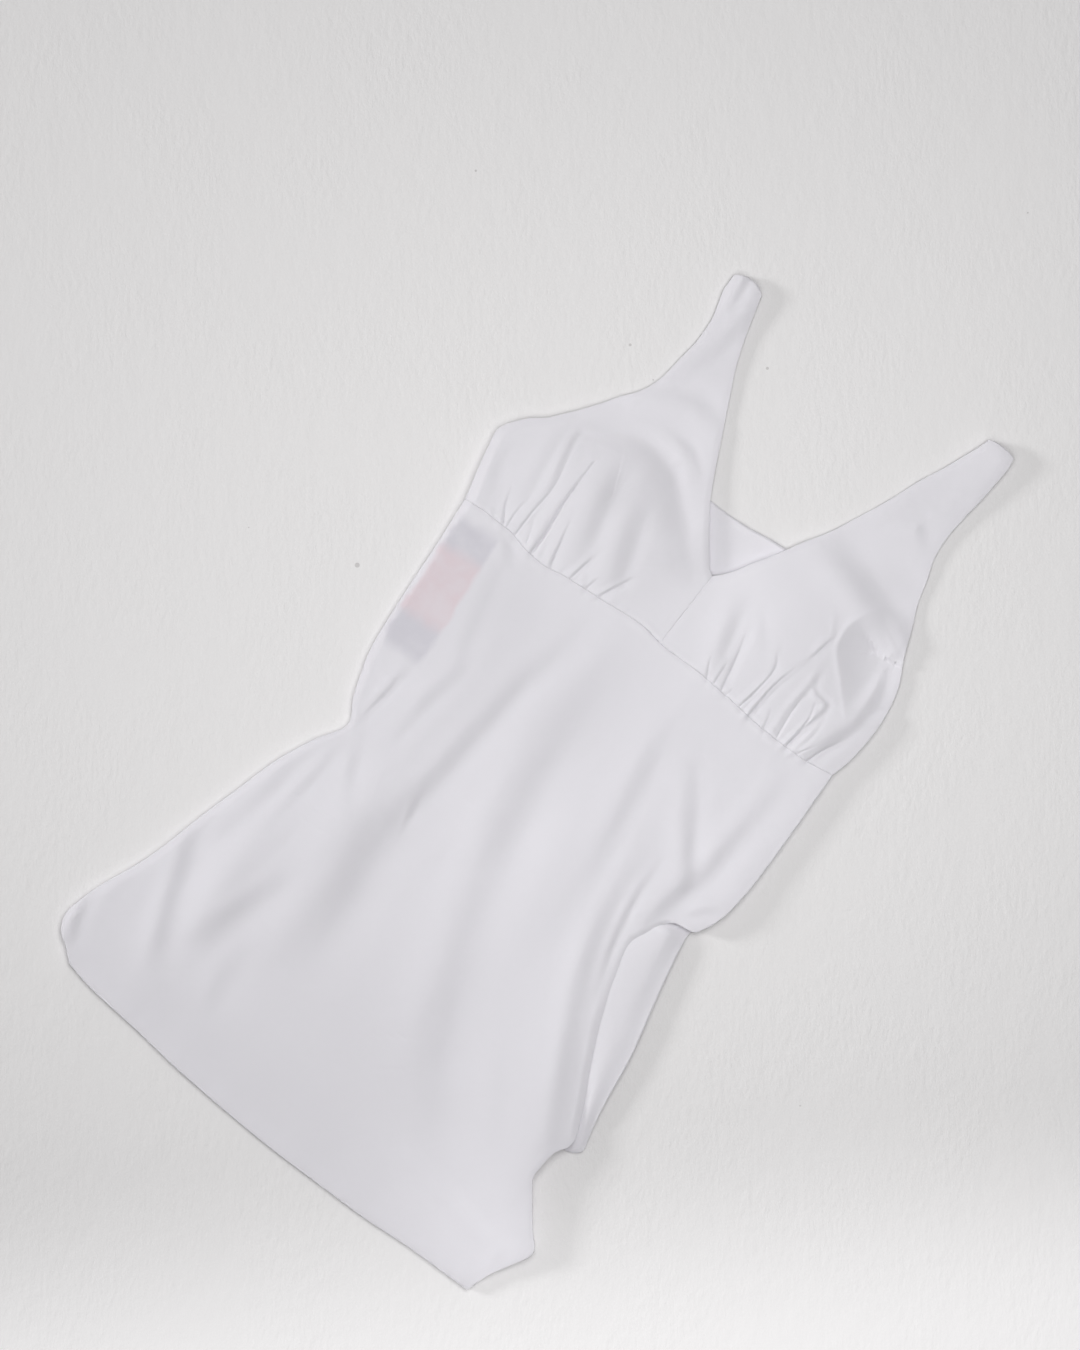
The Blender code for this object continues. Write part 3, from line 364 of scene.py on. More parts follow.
# Sharp creases, finer than the solids carry, with the depths along the path
CREASES = table(
    "depth width path",
    ((0.6, 1.5, 1.8, 1.6), 0.75, ((-138, 243), (-137, 205), (-133, 172), (-133, 153))),
    ((0.1, 0.7, 0.9, 0.9), 0.75, ((-160, 246), (-152, 208), (-153, 180), (-153, 156))),
    ((0, 0.6, 0.9), 0.75, ((-181, 188), (-175, 170), (-167, 157))),
    ((0, 0.6, 0.8), 0.7, ((-162, 188), (-164, 172), (-163, 157))),
    ((0, 0.5, 0.8), 0.7, ((-149, 177), (-144, 165), (-141, 156))),
    ((0, 0.8, 1.1), 0.8, ((-124, 196), (-119, 176), (-114, 155))),
    ((0, 0.8, 1), 0.75, ((-89, 182), (-91, 170), (-93, 157))),
    ((0, 0.5, 0.8), 0.7, ((-75, 170), (-76, 164), (-77, 158))),
    ((0, 0.8, 0.7), 0.75, ((-50, 190), (-57, 176), (-64, 160))),
    ((0.2, 0.9, 0.1), 0.8, ((112, 248), (110, 236), (108, 225))),
    ((0.1, 0.9, 1.3), 0.8, ((103, 212), (98, 188), (97, 157))),
    ((-0.1, -0.4, -0.2), 1.8, ((97, 271), (104, 262), (110, 253))),
    ((0.1, 0.7, 0.9, 0.9), 0.75, ((83, 213), (90, 200), (89, 175), (86, 158))),
    ((0, 0.7, 0.9), 0.75, ((51, 212), (58, 190), (65, 161))),
    ((0, 0.6, 0.8), 0.7, ((55, 182), (56, 170), (57, 161))),
    ((0, 0.5, 0.7), 0.7, ((40, 178), (44, 169), (49, 160))),
    ((0, 0.5, 0.8), 0.7, ((72, 167), (72, 162), (71, 158))),
    ((0, 0.6, 0.8), 0.7, ((123, 200), (124, 180), (127, 157))),
    ((0, 0.4, 0.7), 0.7, ((108, 173), (111, 165), (113, 157))),
    ((0.2, 1, 1.3), 0.8, ((135, 199), (139, 184), (138, 157))),
    ((0, 0.7, 0.9), 0.7, ((144, 194), (141, 178), (139, 162))),
    ((0, 0.8, 1.1), 0.75, ((158, 171), (153, 163), (150, 157))),
    ((0.1, 1, 1.2), 0.8, ((172, 186), (165, 172), (160, 157))),
    ((0.1, 0.8, 0.1), 0.9, ((-156, 2), (-157, -20), (-160, -48))),
    ((0.1, 0.8, 0.1), 0.9, ((-81, -62), (-77, -86), (-72, -106))),
)

# The groove of the seam under the bust and of the one down the middle, with the soft swell beside each
SEAM_UNDER_BUST, SEAM_DOWN_MIDDLE = table(
    "groove groove_width swell swell_place swell_softness",
    (0.4, 1.1, 0.3, 3.5, 1.8),
    (0.08, 1, 0.1, 2.6, 1.5),
)
MIDDLE_SEAM_END = 1.0
# The puckers at the seam under the bust: their height, their reach above it and the share of that below it,
# how far from it they are whole, and their lumps, which are drawn out away from it
PUCKER = 0.22
PUCKER_REACH = 9.0
PUCKER_BELOW = 0.45
PUCKER_START = 1.5
PUCKER_STRETCH = 0.25
PUCKER_SIZE = (3.4, 5)
PUCKER_SEED = 5

# Slight waves that laid cloth keeps everywhere, each with the width and length of its lumps
WAVE_COLUMNS = "height size seed"
FRONT_WAVES = table(WAVE_COLUMNS, (0.28, (26, 60), 1), (0.16, (11, 24), 2), (0.05, (5, 9), 3))
BACK_WAVES = table(WAVE_COLUMNS, (0.12, (17, 40), 11), (0.06, (7, 12), 12))
LATTICE = 64

# How an edge is closed: the shares of its fall at which the wall has a line of points, its bulge, and the
# lines of a seam's edge. HALF_SEAM is half the gap between two pieces.
WALL_SHARES = (0.06, 0.2, 0.4, 0.6, 0.8, 1)
WALL_BULGE = 0.03
BULGE_SKEW = 0.7
LEAST_FALL = 0.2
SEAM_LINES = table("push fall", (0.08, 0.5), (0.1, 1.2))
HALF_SEAM = 0.05
# The turned hem: its radius, the angles of its lines of points, its depth and the lines across that
EDGE_RADIUS = 0.55
TURN_ANGLES = range(30, 181, 30)
HEM_DEPTH = 16.0
HEM_LINES = 6
HEM_LOWEST = 0.3
# The lowest that cloth comes, and the height at which it ends at a side seam, over the back and at a strap
LOWEST = 0.05
SIDE_FOOT = 0.35
OVER_BACK = BACK_TOP + 0.15
STRAP_FOOT = BACK_TOP + 0.2

# The back's sheet: its thickness where it rises, how far its upper face lies below the solid's, and how far
# off the ground its lower face lies, and lies at most, where it rises less than the least rise
BACK_SHEET = 0.9
BACK_SINK = 0.15
BACK_LIFT = 0.25
BACK_MOST_LIFT = 0.6
LEAST_RISE = 0.02
BACK_HEM_INSET = 3.0
# The turned edge of the back's neck: its middle below the edge, half its width, its ends and its thickness
NECK_TURN_MIDDLE = 2.5
NECK_TURN_HALF = 2.6
NECK_TURN_LEFT = -62
NECK_TURN_RIGHT = 52
NECK_TURN = 0.45
# Below this the back has a line of points at the foot of the strip, at least this far inside its edge
FOOT_LINE_TOP = 60
FOOT_LINE_INSET = 4.0

LABEL_MIDDLE = (-174.5, 80)
LABEL_LENGTH = 122.0
LABEL_WIDTH = 37.0
LABEL_THICKNESS = 0.5
LABEL_LEAN = 5.1
LABEL_POINTS = (25, 61)
LABEL_WAVE = 0.15
LABEL_WAVE_SIZE = (14, 22)
LABEL_SEED = 21


def read(rows, name, at, key="y"):
    """The value of a table's column at a place, along a smooth curve with no overshoot."""
    rows = sorted(rows, key=attrgetter(key))
    places, values = (np.array([getattr(row, column) for row in rows], dtype=float)
                      for column in (key, name))
    steps = np.diff(places)
    rises = np.diff(values) / steps
    slopes = np.zeros(len(places))
    slopes[0] = rises[0]
    slopes[-1] = rises[-1]
    same_way = rises[:-1] * rises[1:] > 0
    weight_before = 2 * steps[1:] + steps[:-1]
    weight_after = steps[1:] + 2 * steps[:-1]
    safe_before = np.where(same_way, rises[:-1], 1.0)
    safe_after = np.where(same_way, rises[1:], 1.0)
    mean = (weight_before + weight_after) / (weight_before / safe_before + weight_after / safe_after)
    slopes[1:-1] = np.where(same_way, mean, 0.0)
    at = np.clip(np.asarray(at, dtype=float), places[0], places[-1])
    part = np.clip(np.searchsorted(places, at, side="right") - 1, 0, len(steps) - 1)
    t = (at - places[part]) / steps[part]
    rest = 1 - t
    ends = values[part] * (1 + 2 * t) * rest**2 + values[part + 1] * t**2 * (3 - 2 * t)
    return ends + steps[part] * t * rest * (slopes[part] * rest - slopes[part + 1] * t)


def smooth_path(points, steps=PATH_STEPS):
    """Points along a smooth curve through a path's own points, with each one's place from 0 to 1."""
    points = np.array(points, dtype=float)
    before = 2 * points[0] - points[1]
    beyond = 2 * points[-1] - points[-2]
    knots = np.vstack([before, points, beyond])
    pieces = len(points) - 1
    place = np.linspace(0, 1, steps + 1)
    at = place * pieces
    part = np.minimum(at.astype(int), pieces - 1)
    t = (at - part)[:, None]
    a, b, c, d = (knots[part + shift] for shift in range(4))
    curve = 0.5 * (2 * b + (c - a) * t + (2 * a - 5 * b + 4 * c - d) * t**2 + (3 * b - a - 3 * c + d) * t**3)
    return curve, place


def nearest_on(curve, points):
    """For each point: the nearest place on a line of points, its side and how far past an end it is."""
    starts = curve[:-1]
    runs = curve[1:] - starts
    lengths = np.linalg.norm(runs, axis=1)
    ways = runs / lengths[:, None]
    from_start = points[:, None, :] - starts[None]
    along = np.einsum("psk,sk->ps", from_start, ways)
    side = ways[None, :, 0] * from_start[:, :, 1] - ways[None, :, 1] * from_start[:, :, 0]
    kept = np.clip(along, 0, lengths)
    away = np.hypot(along - kept, side)
    best = np.argmin(away, axis=1)
    row = np.arange(len(points))
    return best, kept[row, best] / lengths[best], side[row, best], (along - kept)[row, best]


def near_path(curve, points, reach):
    """The numbers of the points inside a path's box, widened by a reach."""
    low = curve.min(axis=0) - reach
    high = curve.max(axis=0) + reach
    return np.flatnonzero(np.all((points > low) & (points < high), axis=1))


def along_path(path, values, points, reach):
    """For the points near a path: their numbers, side, distance past its ends, and a value along it."""
    curve, place = smooth_path(path)
    near = near_path(curve, points, reach)
    if len(near) == 0:
        return near, np.zeros(0), np.zeros(0), np.zeros(0)
    best, part, side, beyond = nearest_on(curve, points[near])
    at = place[best] + part * (place[1] - place[0])
    value = np.interp(at, np.linspace(0, 1, len(values)), values)
    return near, side, beyond, value


def add_fold(height, fold, points):
    reach = FOLD_WIDTHS * max(fold.lead, fold.after, FOLD_END)
    near, side, beyond, drop = along_path(fold.path, fold.drop, points, reach)
    width = np.where(side > 0, fold.after, fold.lead)
    steepness = drop / ((fold.lead + fold.after) * CREST_FACTOR)
    fade = np.exp(-0.5 * (beyond / FOLD_END) ** 2)
    height[near] -= steepness * side * np.exp(-0.5 * (side / width) ** 2) * fade


def add_crease(height, crease, points):
    near, side, beyond, depth = along_path(crease.path, crease.depth, points, CREASE_REACH)
    fade = np.exp(-0.5 * (beyond / CREASE_END) ** 2)
    height[near] -= depth * np.exp(-0.5 * (side / crease.width) ** 2) * fade


def line_y(line, x):
    """Where a seam or an edge that runs across the dress lies, at places along it."""
    return read(line, "y", x, key="x")


def strap_end_y(bust, across):
    top = bust[-1]
    middle = STRAP_END_MIDDLE["left" if top.neck < 0 else "right"] - STRAP_END_SIDE
    return top.y + STRAP_END_SIDE + middle * np.sin(np.pi * across) ** STRAP_END_ROUNDING


def smooth(t):
    """A soft change from 0 to 1 while t goes from 0 to 1."""
    t = np.clip(t, 0, 1)
    return t**2 * (3 - 2 * t)


def over_strip(y):
    """1 where the skirt's right edge lies on the strip of the back, and 0 elsewhere."""
    below = (STRIP[0].y - OVER_STRIP_START - y) / OVER_STRIP_TOP
    above = (y - STRIP[-3].y) / OVER_STRIP_FOOT
    return np.clip(np.minimum(below, above), 0, 1)


def edge_run(x, y, roll, share):
    """A run of points along an edge, with the roll and the share of the height that it keeps at each."""
    return np.column_stack([x, y]), np.broadcast_to(roll, x.shape), np.broadcast_to(share, x.shape)


def rolled_edges():
    """The outer edges of the front, as runs of points."""
    y = np.linspace(HEM_LINE_Y, BUST_SEAM_Y, SIDE_POINTS)
    right_share = RIGHT_SIDE + (OVER_STRIP - RIGHT_SIDE) * over_strip(y)
    runs = [edge_run(read(SKIRT, side, y), y, read(SKIRT, side + "_roll", y), share)
            for side, share in (("left", LEFT_SIDE), ("right", right_share))]
    x = np.linspace(SKIRT[-1].left, SKIRT[-1].right, HEM_POINTS)
    runs.append(edge_run(x, line_y(HEM_LINE, x), HEM_ROLL, HEM))
    for bust, side_top, side_share, armhole_share in (
        (LEFT_BUST, LEFT_SIDE_TOP, LEFT_SIDE, LEFT_ARMHOLE),
        (RIGHT_BUST, RIGHT_SIDE_TOP, RIGHT_SIDE, RIGHT_ARMHOLE),
    ):
        top = bust[-1]
        y = np.linspace(BUST_SEAM_Y, top.y, ARMHOLE_POINTS)
        change = smooth((y - side_top) / (NECK_BOTTOM_Y - side_top))
        share = side_share + (armhole_share - side_share) * change
        runs.append(edge_run(read(bust, "armhole", y), y, read(bust, "armhole_roll", y), share))
        y = np.linspace(NECK_BOTTOM_Y, top.y, NECK_POINTS)
        runs.append(edge_run(read(bust, "neck", y), y, read(bust, "neck_roll", y), NECK))
        across = np.linspace(0, 1, STRAP_END_POINTS)
        x = top.armhole + (top.neck - top.armhole) * across
        runs.append(edge_run(x, strap_end_y(bust, across), STRAP_END_ROLL, STRAP_END))
    return runs


def share_of_height(points):
    """The share of its height that the cloth keeps near the outer edges."""
    share = np.ones(len(points))
    for curve, rolls, rises in rolled_edges():
        for near in np.array_split(near_path(curve, points, rolls.max()), BATCHES):
            if len(near) == 0:
                continue
            best, part, side, beyond = nearest_on(curve, points[near])
            roll = rolls[best] + part * (rolls[best + 1] - rolls[best])
            rise = rises[best] + part * (rises[best + 1] - rises[best])
            inward = np.clip(np.hypot(side, beyond) / roll, 0, 1)
            rounded = np.sin(0.5 * np.pi * inward)
            share[near] = np.minimum(share[near], rise + (1 - rise) * rounded)
    return share


def soft_noise(points, size, seed):
    """Smooth uneven heights from -1 to 1, with lumps of the given width and length."""
    lattice = np.random.default_rng(seed).uniform(-1, 1, (LATTICE, LATTICE))
    places = points / size + LATTICE / 2
    cells = np.floor(places).astype(int)
    t = places - cells
    u, v = (t**3 * (t * (6 * t - 15) + 10)).T
    column, row = cells.T
    a, b, c, d = (lattice[(row + up) % LATTICE, (column + right) % LATTICE]
                  for up in (0, 1) for right in (0, 1))
    return (a * (1 - u) + b * u) * (1 - v) + (c * (1 - u) + d * u) * v


def seam_form(away, seam):
    """The swell of the cloth beside a seam, less the groove of the seam itself."""
    swell = seam.swell * np.exp(-0.5 * ((away - seam.swell_place) / seam.swell_softness) ** 2)
    return swell - seam.groove * np.exp(-away / seam.groove_width)


def seam_relief(points):
    """The grooves of the seams under the bust and down the middle, and the puckers beside them."""
    x, y = points.T
    away = y - line_y(BUST_SEAM, x)
    wave = soft_noise(np.column_stack([x, away * PUCKER_STRETCH]), PUCKER_SIZE, PUCKER_SEED)
    reach = PUCKER_REACH * np.where(away > 0, 1, PUCKER_BELOW)
    pucker = PUCKER * wave * np.exp(-(away / reach) ** 2) * np.minimum(1, np.abs(away) / PUCKER_START)
    on_middle = 1 / (1 + np.exp((y - NECK_BOTTOM_Y) / MIDDLE_SEAM_END - 1))
    on_middle /= 1 + np.exp((BUST_SEAM_Y - y) / MIDDLE_SEAM_END)
    middle = on_middle * seam_form(np.abs(x), SEAM_DOWN_MIDDLE)
    return seam_form(np.abs(away), SEAM_UNDER_BUST) + pucker + middle


def unevenness(points, waves):
    return sum(wave.height * soft_noise(points, wave.size, wave.seed) for wave in waves)


def front_height(points):
    """Height of the front's upper face at points of the plan."""
    loft = read(LOFT, "height", points[:, 1])
    for mound in MOUNDS:
        across = (points[:, 0] - mound.x) / mound.across
        along = (points[:, 1] - mound.y) / mound.along
        loft = loft + mound.height * np.exp(-0.5 * (across**2 + along**2))
    for fold in FOLDS:
        add_fold(loft, fold, points)
    for crease in CREASES:
        add_crease(loft, crease, points)
    loft = loft + unevenness(points, FRONT_WAVES)
    over = loft - LEAST_LOFT
    inner = FRONT_TOP - EDGE_TOP + LEAST_LOFT + 0.5 * (over + np.sqrt(over**2 + LOFT_SOFTNESS**2))
    return EDGE_TOP + inner * share_of_height(points) + seam_relief(points)


def front_edge(side, y):
    bust = LEFT_BUST if side == "left" else RIGHT_BUST
    return np.where(y < BUST_SEAM_Y, read(SKIRT, side, y), read(bust, "armhole", y))


def beside_strip(y):
    return (y < STRIP[0].y) & (y > STRIP[-1].y)


def back_edge(side, y):
    """The outer edge of the back: just inside the front's, but for the strip that shows."""
    inset = read(BACK, "inset", y)
    if side == "left":
        return front_edge("left", y) + inset
    strip = np.where(beside_strip(y), read(STRIP, "edge", y), LEFT_REACH)
    return np.maximum(front_edge("right", y) - inset, strip)


def back_rise(points):
    """How far the back stands up, in the roll of the strip beside the skirt."""
    x, y = points.T
    foot = read(SKIRT, "right", y) + STRIP_FOOT
    crest = read(STRIP, "crest", y)
    edge = back_edge("right", y)
    end = read(STRIP, "end", y)
    rising = np.clip((x - foot) / np.maximum(crest - foot, LEAST_SLOPE), 0, 1)
    left_slope = STRIP_START + (1 - STRIP_START) * np.sin(0.5 * np.pi * rising)
    left_slope *= smooth(1 + (x - foot) / STRIP_UNDER)
    right_slope = end + (1 - end) * smooth((edge - x) / np.maximum(edge - crest, LEAST_SLOPE))
    height = read(STRIP, "height", y) * np.minimum(left_slope, right_slope)
    return np.where(beside_strip(y), height, 0.0)


def spaced(count, crowd=0.0):
    """Places from 0 to 1 that crowd toward both ends."""
    t = np.linspace(0, 1, count)
    return t - crowd * np.sin(2 * np.pi * t) / (2 * np.pi)


# Rows of points from the hem up, as bands with a start, an end and a count. They are close at the edges and
# where the skirt's right side tucks in. Then the places of the columns across each part.
SKIRT_ROWS = (
    (HEM_LINE_Y, -364, 8), (-364, -240, 72), (-240, -214, 20), (-214, -60, 90), (-60, -24, 26),
    (-24, -14, 28), (-14, 142, 88), (142, BUST_SEAM_Y, 18),
)
SKIRT_COLUMNS = (spaced(82, 0.25), spaced(106), spaced(74, 0.3))
BUST_ROWS = ((BUST_SEAM_Y, 170, 21), (170, NECK_BOTTOM_Y, 61), (NECK_BOTTOM_Y, 260, 31))
STRAP_ROWS = 109
BUST_COLUMN_PLACES = spaced(300, 0.2)
STRAP_END_STEPS = (0.35, 0.7, 1.0)
BACK_ROWS = ((HEM_LINE_Y, BACK_NECK_Y, 229), (BACK_NECK_Y, BACK_TOP_Y, 59))
BACK_COLUMN_COUNTS = (24, 34, 30, 26)


def lifted(plan, height):
    """A grid of plan points, with a height for each."""
    return np.dstack([plan, height.reshape(plan.shape[:2])])


def on_surface(plan):
    """A grid of plan points, lifted to the front's upper face."""
    return lifted(plan, front_height(plan.reshape(-1, 2)))


def edge_line(grid, side):
    """An edge of a grid, with the direction in plan that points out of the cloth."""
    rows = grid.transpose(1, 0, 2) if side in ("left", "right") else grid
    edge, inner = rows[:2] if side in ("left", "low") else rows[:-3:-1]
    tangent = np.gradient(edge[:, :2], axis=0)
    tangent /= np.linalg.norm(tangent, axis=1)[:, None]
    out = np.column_stack([tangent[:, 1], -tangent[:, 0]])
    facing = np.sum(out * (edge[:, :2] - inner[:, :2]), axis=1)
    return edge, out * np.where(facing < 0, -1.0, 1.0)[:, None]


def add_lines(grid, side, lines, lowest=LOWEST):
    """A grid with more lines of points beyond one of its edges, none of them below the lowest height."""
    lines = np.array(lines)
    lines[:, :, 2] = np.maximum(lines[:, :, 2], lowest)
    upright = side in ("left", "right")
    rows = grid.transpose(1, 0, 2) if upright else grid
    rows = np.concatenate([lines[::-1], rows] if side in ("left", "low") else [rows, lines])
    return rows.transpose(1, 0, 2) if upright else rows


def turn_under(grid, side):
    """Rounds an edge over and carries the cloth back underneath, as a hem does."""
    edge, out = edge_line(grid, side)
    lines = []
    for angle in np.radians(TURN_ANGLES):
        plan = edge[:, :2] + out * EDGE_RADIUS * np.sin(angle)
        lines.append(np.column_stack([plan, edge[:, 2] - EDGE_RADIUS * (1 - np.cos(angle))]))
    for inward in np.linspace(0, HEM_DEPTH, HEM_LINES)[1:]:
        plan = edge[:, :2] - out * inward
        under = front_height(plan) - 2 * EDGE_RADIUS
        lines.append(np.column_stack([plan, np.maximum(under, OVER_BACK)]))
    return add_lines(grid, side, lines, HEM_LOWEST)


def close_down(grid, side, foot):
    """Rounds an edge over and brings the cloth down to a foot, as at a seam that meets the back."""
    edge, out = edge_line(grid, side)
    lines = []
    fall = edge[:, 2] - np.minimum(foot, edge[:, 2] - LEAST_FALL)
    for share in WALL_SHARES:
        bulge = WALL_BULGE * np.sin(np.pi * share**BULGE_SKEW) * fall[:, None]
        lines.append(np.column_stack([edge[:, :2] + out * bulge, edge[:, 2] - fall * share]))
    return add_lines(grid, side, lines)


def seam_drop(grid, side):
    """Turns the raw edge of a seam down into its groove."""
    edge, out = edge_line(grid, side)
    lines = [np.column_stack([edge[:, :2] + out * line.push, edge[:, 2] - line.fall]) for line in SEAM_LINES]
    return add_lines(grid, side, lines)


def grid_mesh(grid, skipped=None):
    """Corners and four-sided faces of a grid, without the faces that a mask names."""
    rows, columns = grid.shape[:2]
    number = np.arange(rows * columns).reshape(rows, columns)
    faces = np.stack([number[:-1, :-1], number[:-1, 1:], number[1:, 1:], number[1:, :-1]], axis=-1)
    if skipped is not None:
        faces = faces[~skipped]
    return grid.reshape(-1, 3), faces.reshape(-1, 4)


def add_object(name, data):
    thing = bpy.data.objects.new(name, data)
    bpy.context.scene.collection.objects.link(thing)
    return thing


def make_piece(name, corners, faces, material):
    """A smooth mesh in the scene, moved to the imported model's frame."""
    mesh = bpy.data.meshes.new(name)
    mesh.from_pydata(((corners - (*CENTRE, 0.0)) * MM).tolist(), [], faces.tolist())
    mesh.materials.append(material)
    mesh.shade_smooth()
    mesh.update()
    return add_object(name, mesh)


def banded(bands):
    """Places along a line, from bands that each have a start, an end and a count of steps."""
    places = [np.linspace(start, end, count + 1)[:-1] for start, end, count in bands]
    return np.concatenate(places + [[bands[-1][1]]])


def bend(x, y, line, level, reach, inset=0.0):
    """How far rows near a level move to follow a line there, fading to nothing at the reach."""
    return (line_y(line, x) + inset - level) * np.maximum(0.0, 1 - np.abs(y - level) / reach)[:, None]


def columns_between(lines, shares):
    """Places across a piece, from the lines that part it and the columns' shares of each part."""
    lines = [line[:, None] for line in lines]
    parts = [start + (end - start) * share[:-1] for start, end, share in zip(lines, lines[1:], shares)]
    return np.concatenate(parts + [lines[-1]], axis=1)


def skirt_plan():
    y = banded(SKIRT_ROWS)
    lines = [read(SKIRT, name, y) for name in ("left", "crease", "fold", "right")]
    x = columns_between(lines, SKIRT_COLUMNS)
    seam = bend(x, y, BUST_SEAM, BUST_SEAM_Y, SEAM_REACH, -HALF_SEAM)
    hem = bend(x, y, HEM_LINE, HEM_LINE_Y, HEM_REACH)
    return np.stack([x, y[:, None] + seam + hem], axis=-1)


def build_skirt(material):
    grid = on_surface(skirt_plan())
    over_back = beside_strip(grid[:, -1, 1])
    grid = close_down(grid, "left", SIDE_FOOT)
    grid = close_down(grid, "right", np.where(over_back, OVER_BACK, SIDE_FOOT))
    grid = seam_drop(grid, "high")
    grid = turn_under(grid, "low")
    return make_piece("house_dress_skirt", *grid_mesh(grid), material)


def bust_plan(bust):
    side = np.sign(bust[0].armhole)
    top = bust[-1]
    y = banded(BUST_ROWS + ((BUST_ROWS[-1][1], top.y, STRAP_ROWS),))
    armhole = read(bust, "armhole", y)[:, None]
    neck = np.where(y <= NECK_BOTTOM_Y, side * HALF_SEAM, read(bust, "neck", y))[:, None]
    x = armhole + (neck - armhole) * BUST_COLUMN_PLACES
    seam = bend(x, y, BUST_SEAM, BUST_SEAM_Y, SEAM_REACH, HALF_SEAM)
    plan = np.stack([x, y[:, None] + seam], axis=-1)
    across = (x[-1] - top.armhole) / (top.neck - top.armhole)
    end = strap_end_y(bust, np.clip(across, 0, 1))
    steps = [np.column_stack([x[-1], top.y + (end - top.y) * share]) for share in STRAP_END_STEPS]
    plan = np.concatenate([plan, np.array(steps)])
    return plan if side < 0 else plan[:, ::-1]


def build_bust(name, bust, material):
    """A bust piece with its strap: side seam and armhole on its outer edge, middle seam and neck inside."""
    outer, inner = ("left", "right") if bust[0].armhole < 0 else ("right", "left")
    grid = on_surface(bust_plan(bust))
    outer_y = grid[:, 0 if outer == "left" else -1, 1]
    grid = close_down(grid, outer, np.where(outer_y < NECK_BOTTOM_Y, SIDE_FOOT, STRAP_FOOT))
    grid = close_down(grid, inner, STRAP_FOOT)
    grid = seam_drop(grid, "low")
    grid = close_down(grid, "high", SIDE_FOOT)
    return make_piece(name, *grid_mesh(grid), material)


def closed_sheet(name, plan, upper, lower, material, skipped=None):
    """A thin sheet with two faces over the same plan, closed along its open edges."""
    top, faces = grid_mesh(lifted(plan, upper), skipped)
    under, _ = grid_mesh(lifted(plan, lower))
    count = len(top)
    walls = np.vstack([faces, faces[:, ::-1] + count, rim_faces(faces, count)])
    return make_piece(name, np.vstack([top, under]), walls, material)


def back_plan():
    """The plan of the back, with a line of points at the foot of the strip."""
    y = banded(BACK_ROWS)
    left, right = (back_edge(side, y) for side in ("left", "right"))
    inner_left, inner_right = (read(BACK, name, y) for name in ("inner_left", "inner_right"))
    strip_foot = np.minimum(read(SKIRT, "right", y) + STRIP_FOOT, right - FOOT_LINE_INSET)
    foot = np.where(y < FOOT_LINE_TOP, strip_foot, (inner_right + right) / 2)
    shares = [spaced(count + 1) for count in BACK_COLUMN_COUNTS]
    x = columns_between((left, inner_left, inner_right, foot, right), shares)
    hem = bend(x, y, HEM_LINE, HEM_LINE_Y, HEM_REACH, BACK_HEM_INSET)
    neck = bend(x, y, BACK_NECK, BACK_NECK_Y, NECK_REACH)
    return np.stack([x, y[:, None] + hem + neck], axis=-1)


def build_back(material):
    """The back and its straps as a thin closed sheet, lying on the ground."""
    plan = back_plan()
    flat = plan.reshape(-1, 2)
    x, y = flat.T
    rise = back_rise(flat)
    uneven = unevenness(flat, BACK_WAVES)
    in_turn = np.abs(line_y(BACK_NECK, x) - y - NECK_TURN_MIDDLE) < NECK_TURN_HALF
    at_neck = in_turn & (x > NECK_TURN_LEFT) & (x < NECK_TURN_RIGHT)
    upper = BACK_TOP - BACK_SINK + rise + uneven + np.where(at_neck, NECK_TURN, 0.0)
    raised = np.maximum(upper - BACK_SHEET, 0.0)
    lower = np.where(rise > LEAST_RISE, raised, np.clip(BACK_LIFT + 2 * uneven, 0, BACK_MOST_LIFT))
    skipped = np.zeros((plan.shape[0] - 1, plan.shape[1] - 1), dtype=bool)
    skipped[BACK_ROWS[0][2]:, BACK_COLUMN_COUNTS[0]:sum(BACK_COLUMN_COUNTS[:2])] = True
    return closed_sheet("house_dress_back", plan, upper, lower, material, skipped)


def rim_faces(faces, count):
    """Faces that join the open edges of a sheet to those of its lower layer."""
    edges = set()
    for face in faces.tolist():
        for a, b in zip(face, face[1:] + face[:1]):
            if (b, a) in edges:
                edges.remove((b, a))
            else:
                edges.add((a, b))
    return np.array([(b, a, a + count, b + count) for a, b in sorted(edges)])


def build_label(material):
    """The plain care label, lying on the back beside the left side seam."""
    lean = np.radians(LABEL_LEAN)
    along = np.array([-np.sin(lean), np.cos(lean)]) * LABEL_LENGTH
    across = np.array([np.cos(lean), np.sin(lean)]) * LABEL_WIDTH
    s, t = np.meshgrid(*(np.linspace(-0.5, 0.5, count) for count in LABEL_POINTS))
    plan = np.array(LABEL_MIDDLE) + s[..., None] * across + t[..., None] * along
    wave = soft_noise(plan.reshape(-1, 2), LABEL_WAVE_SIZE, LABEL_SEED)
    foot = BACK_TOP + GAP + LABEL_WAVE * (1 + wave)
    return closed_sheet("house_dress_label", plan, foot + LABEL_THICKNESS, foot, material)


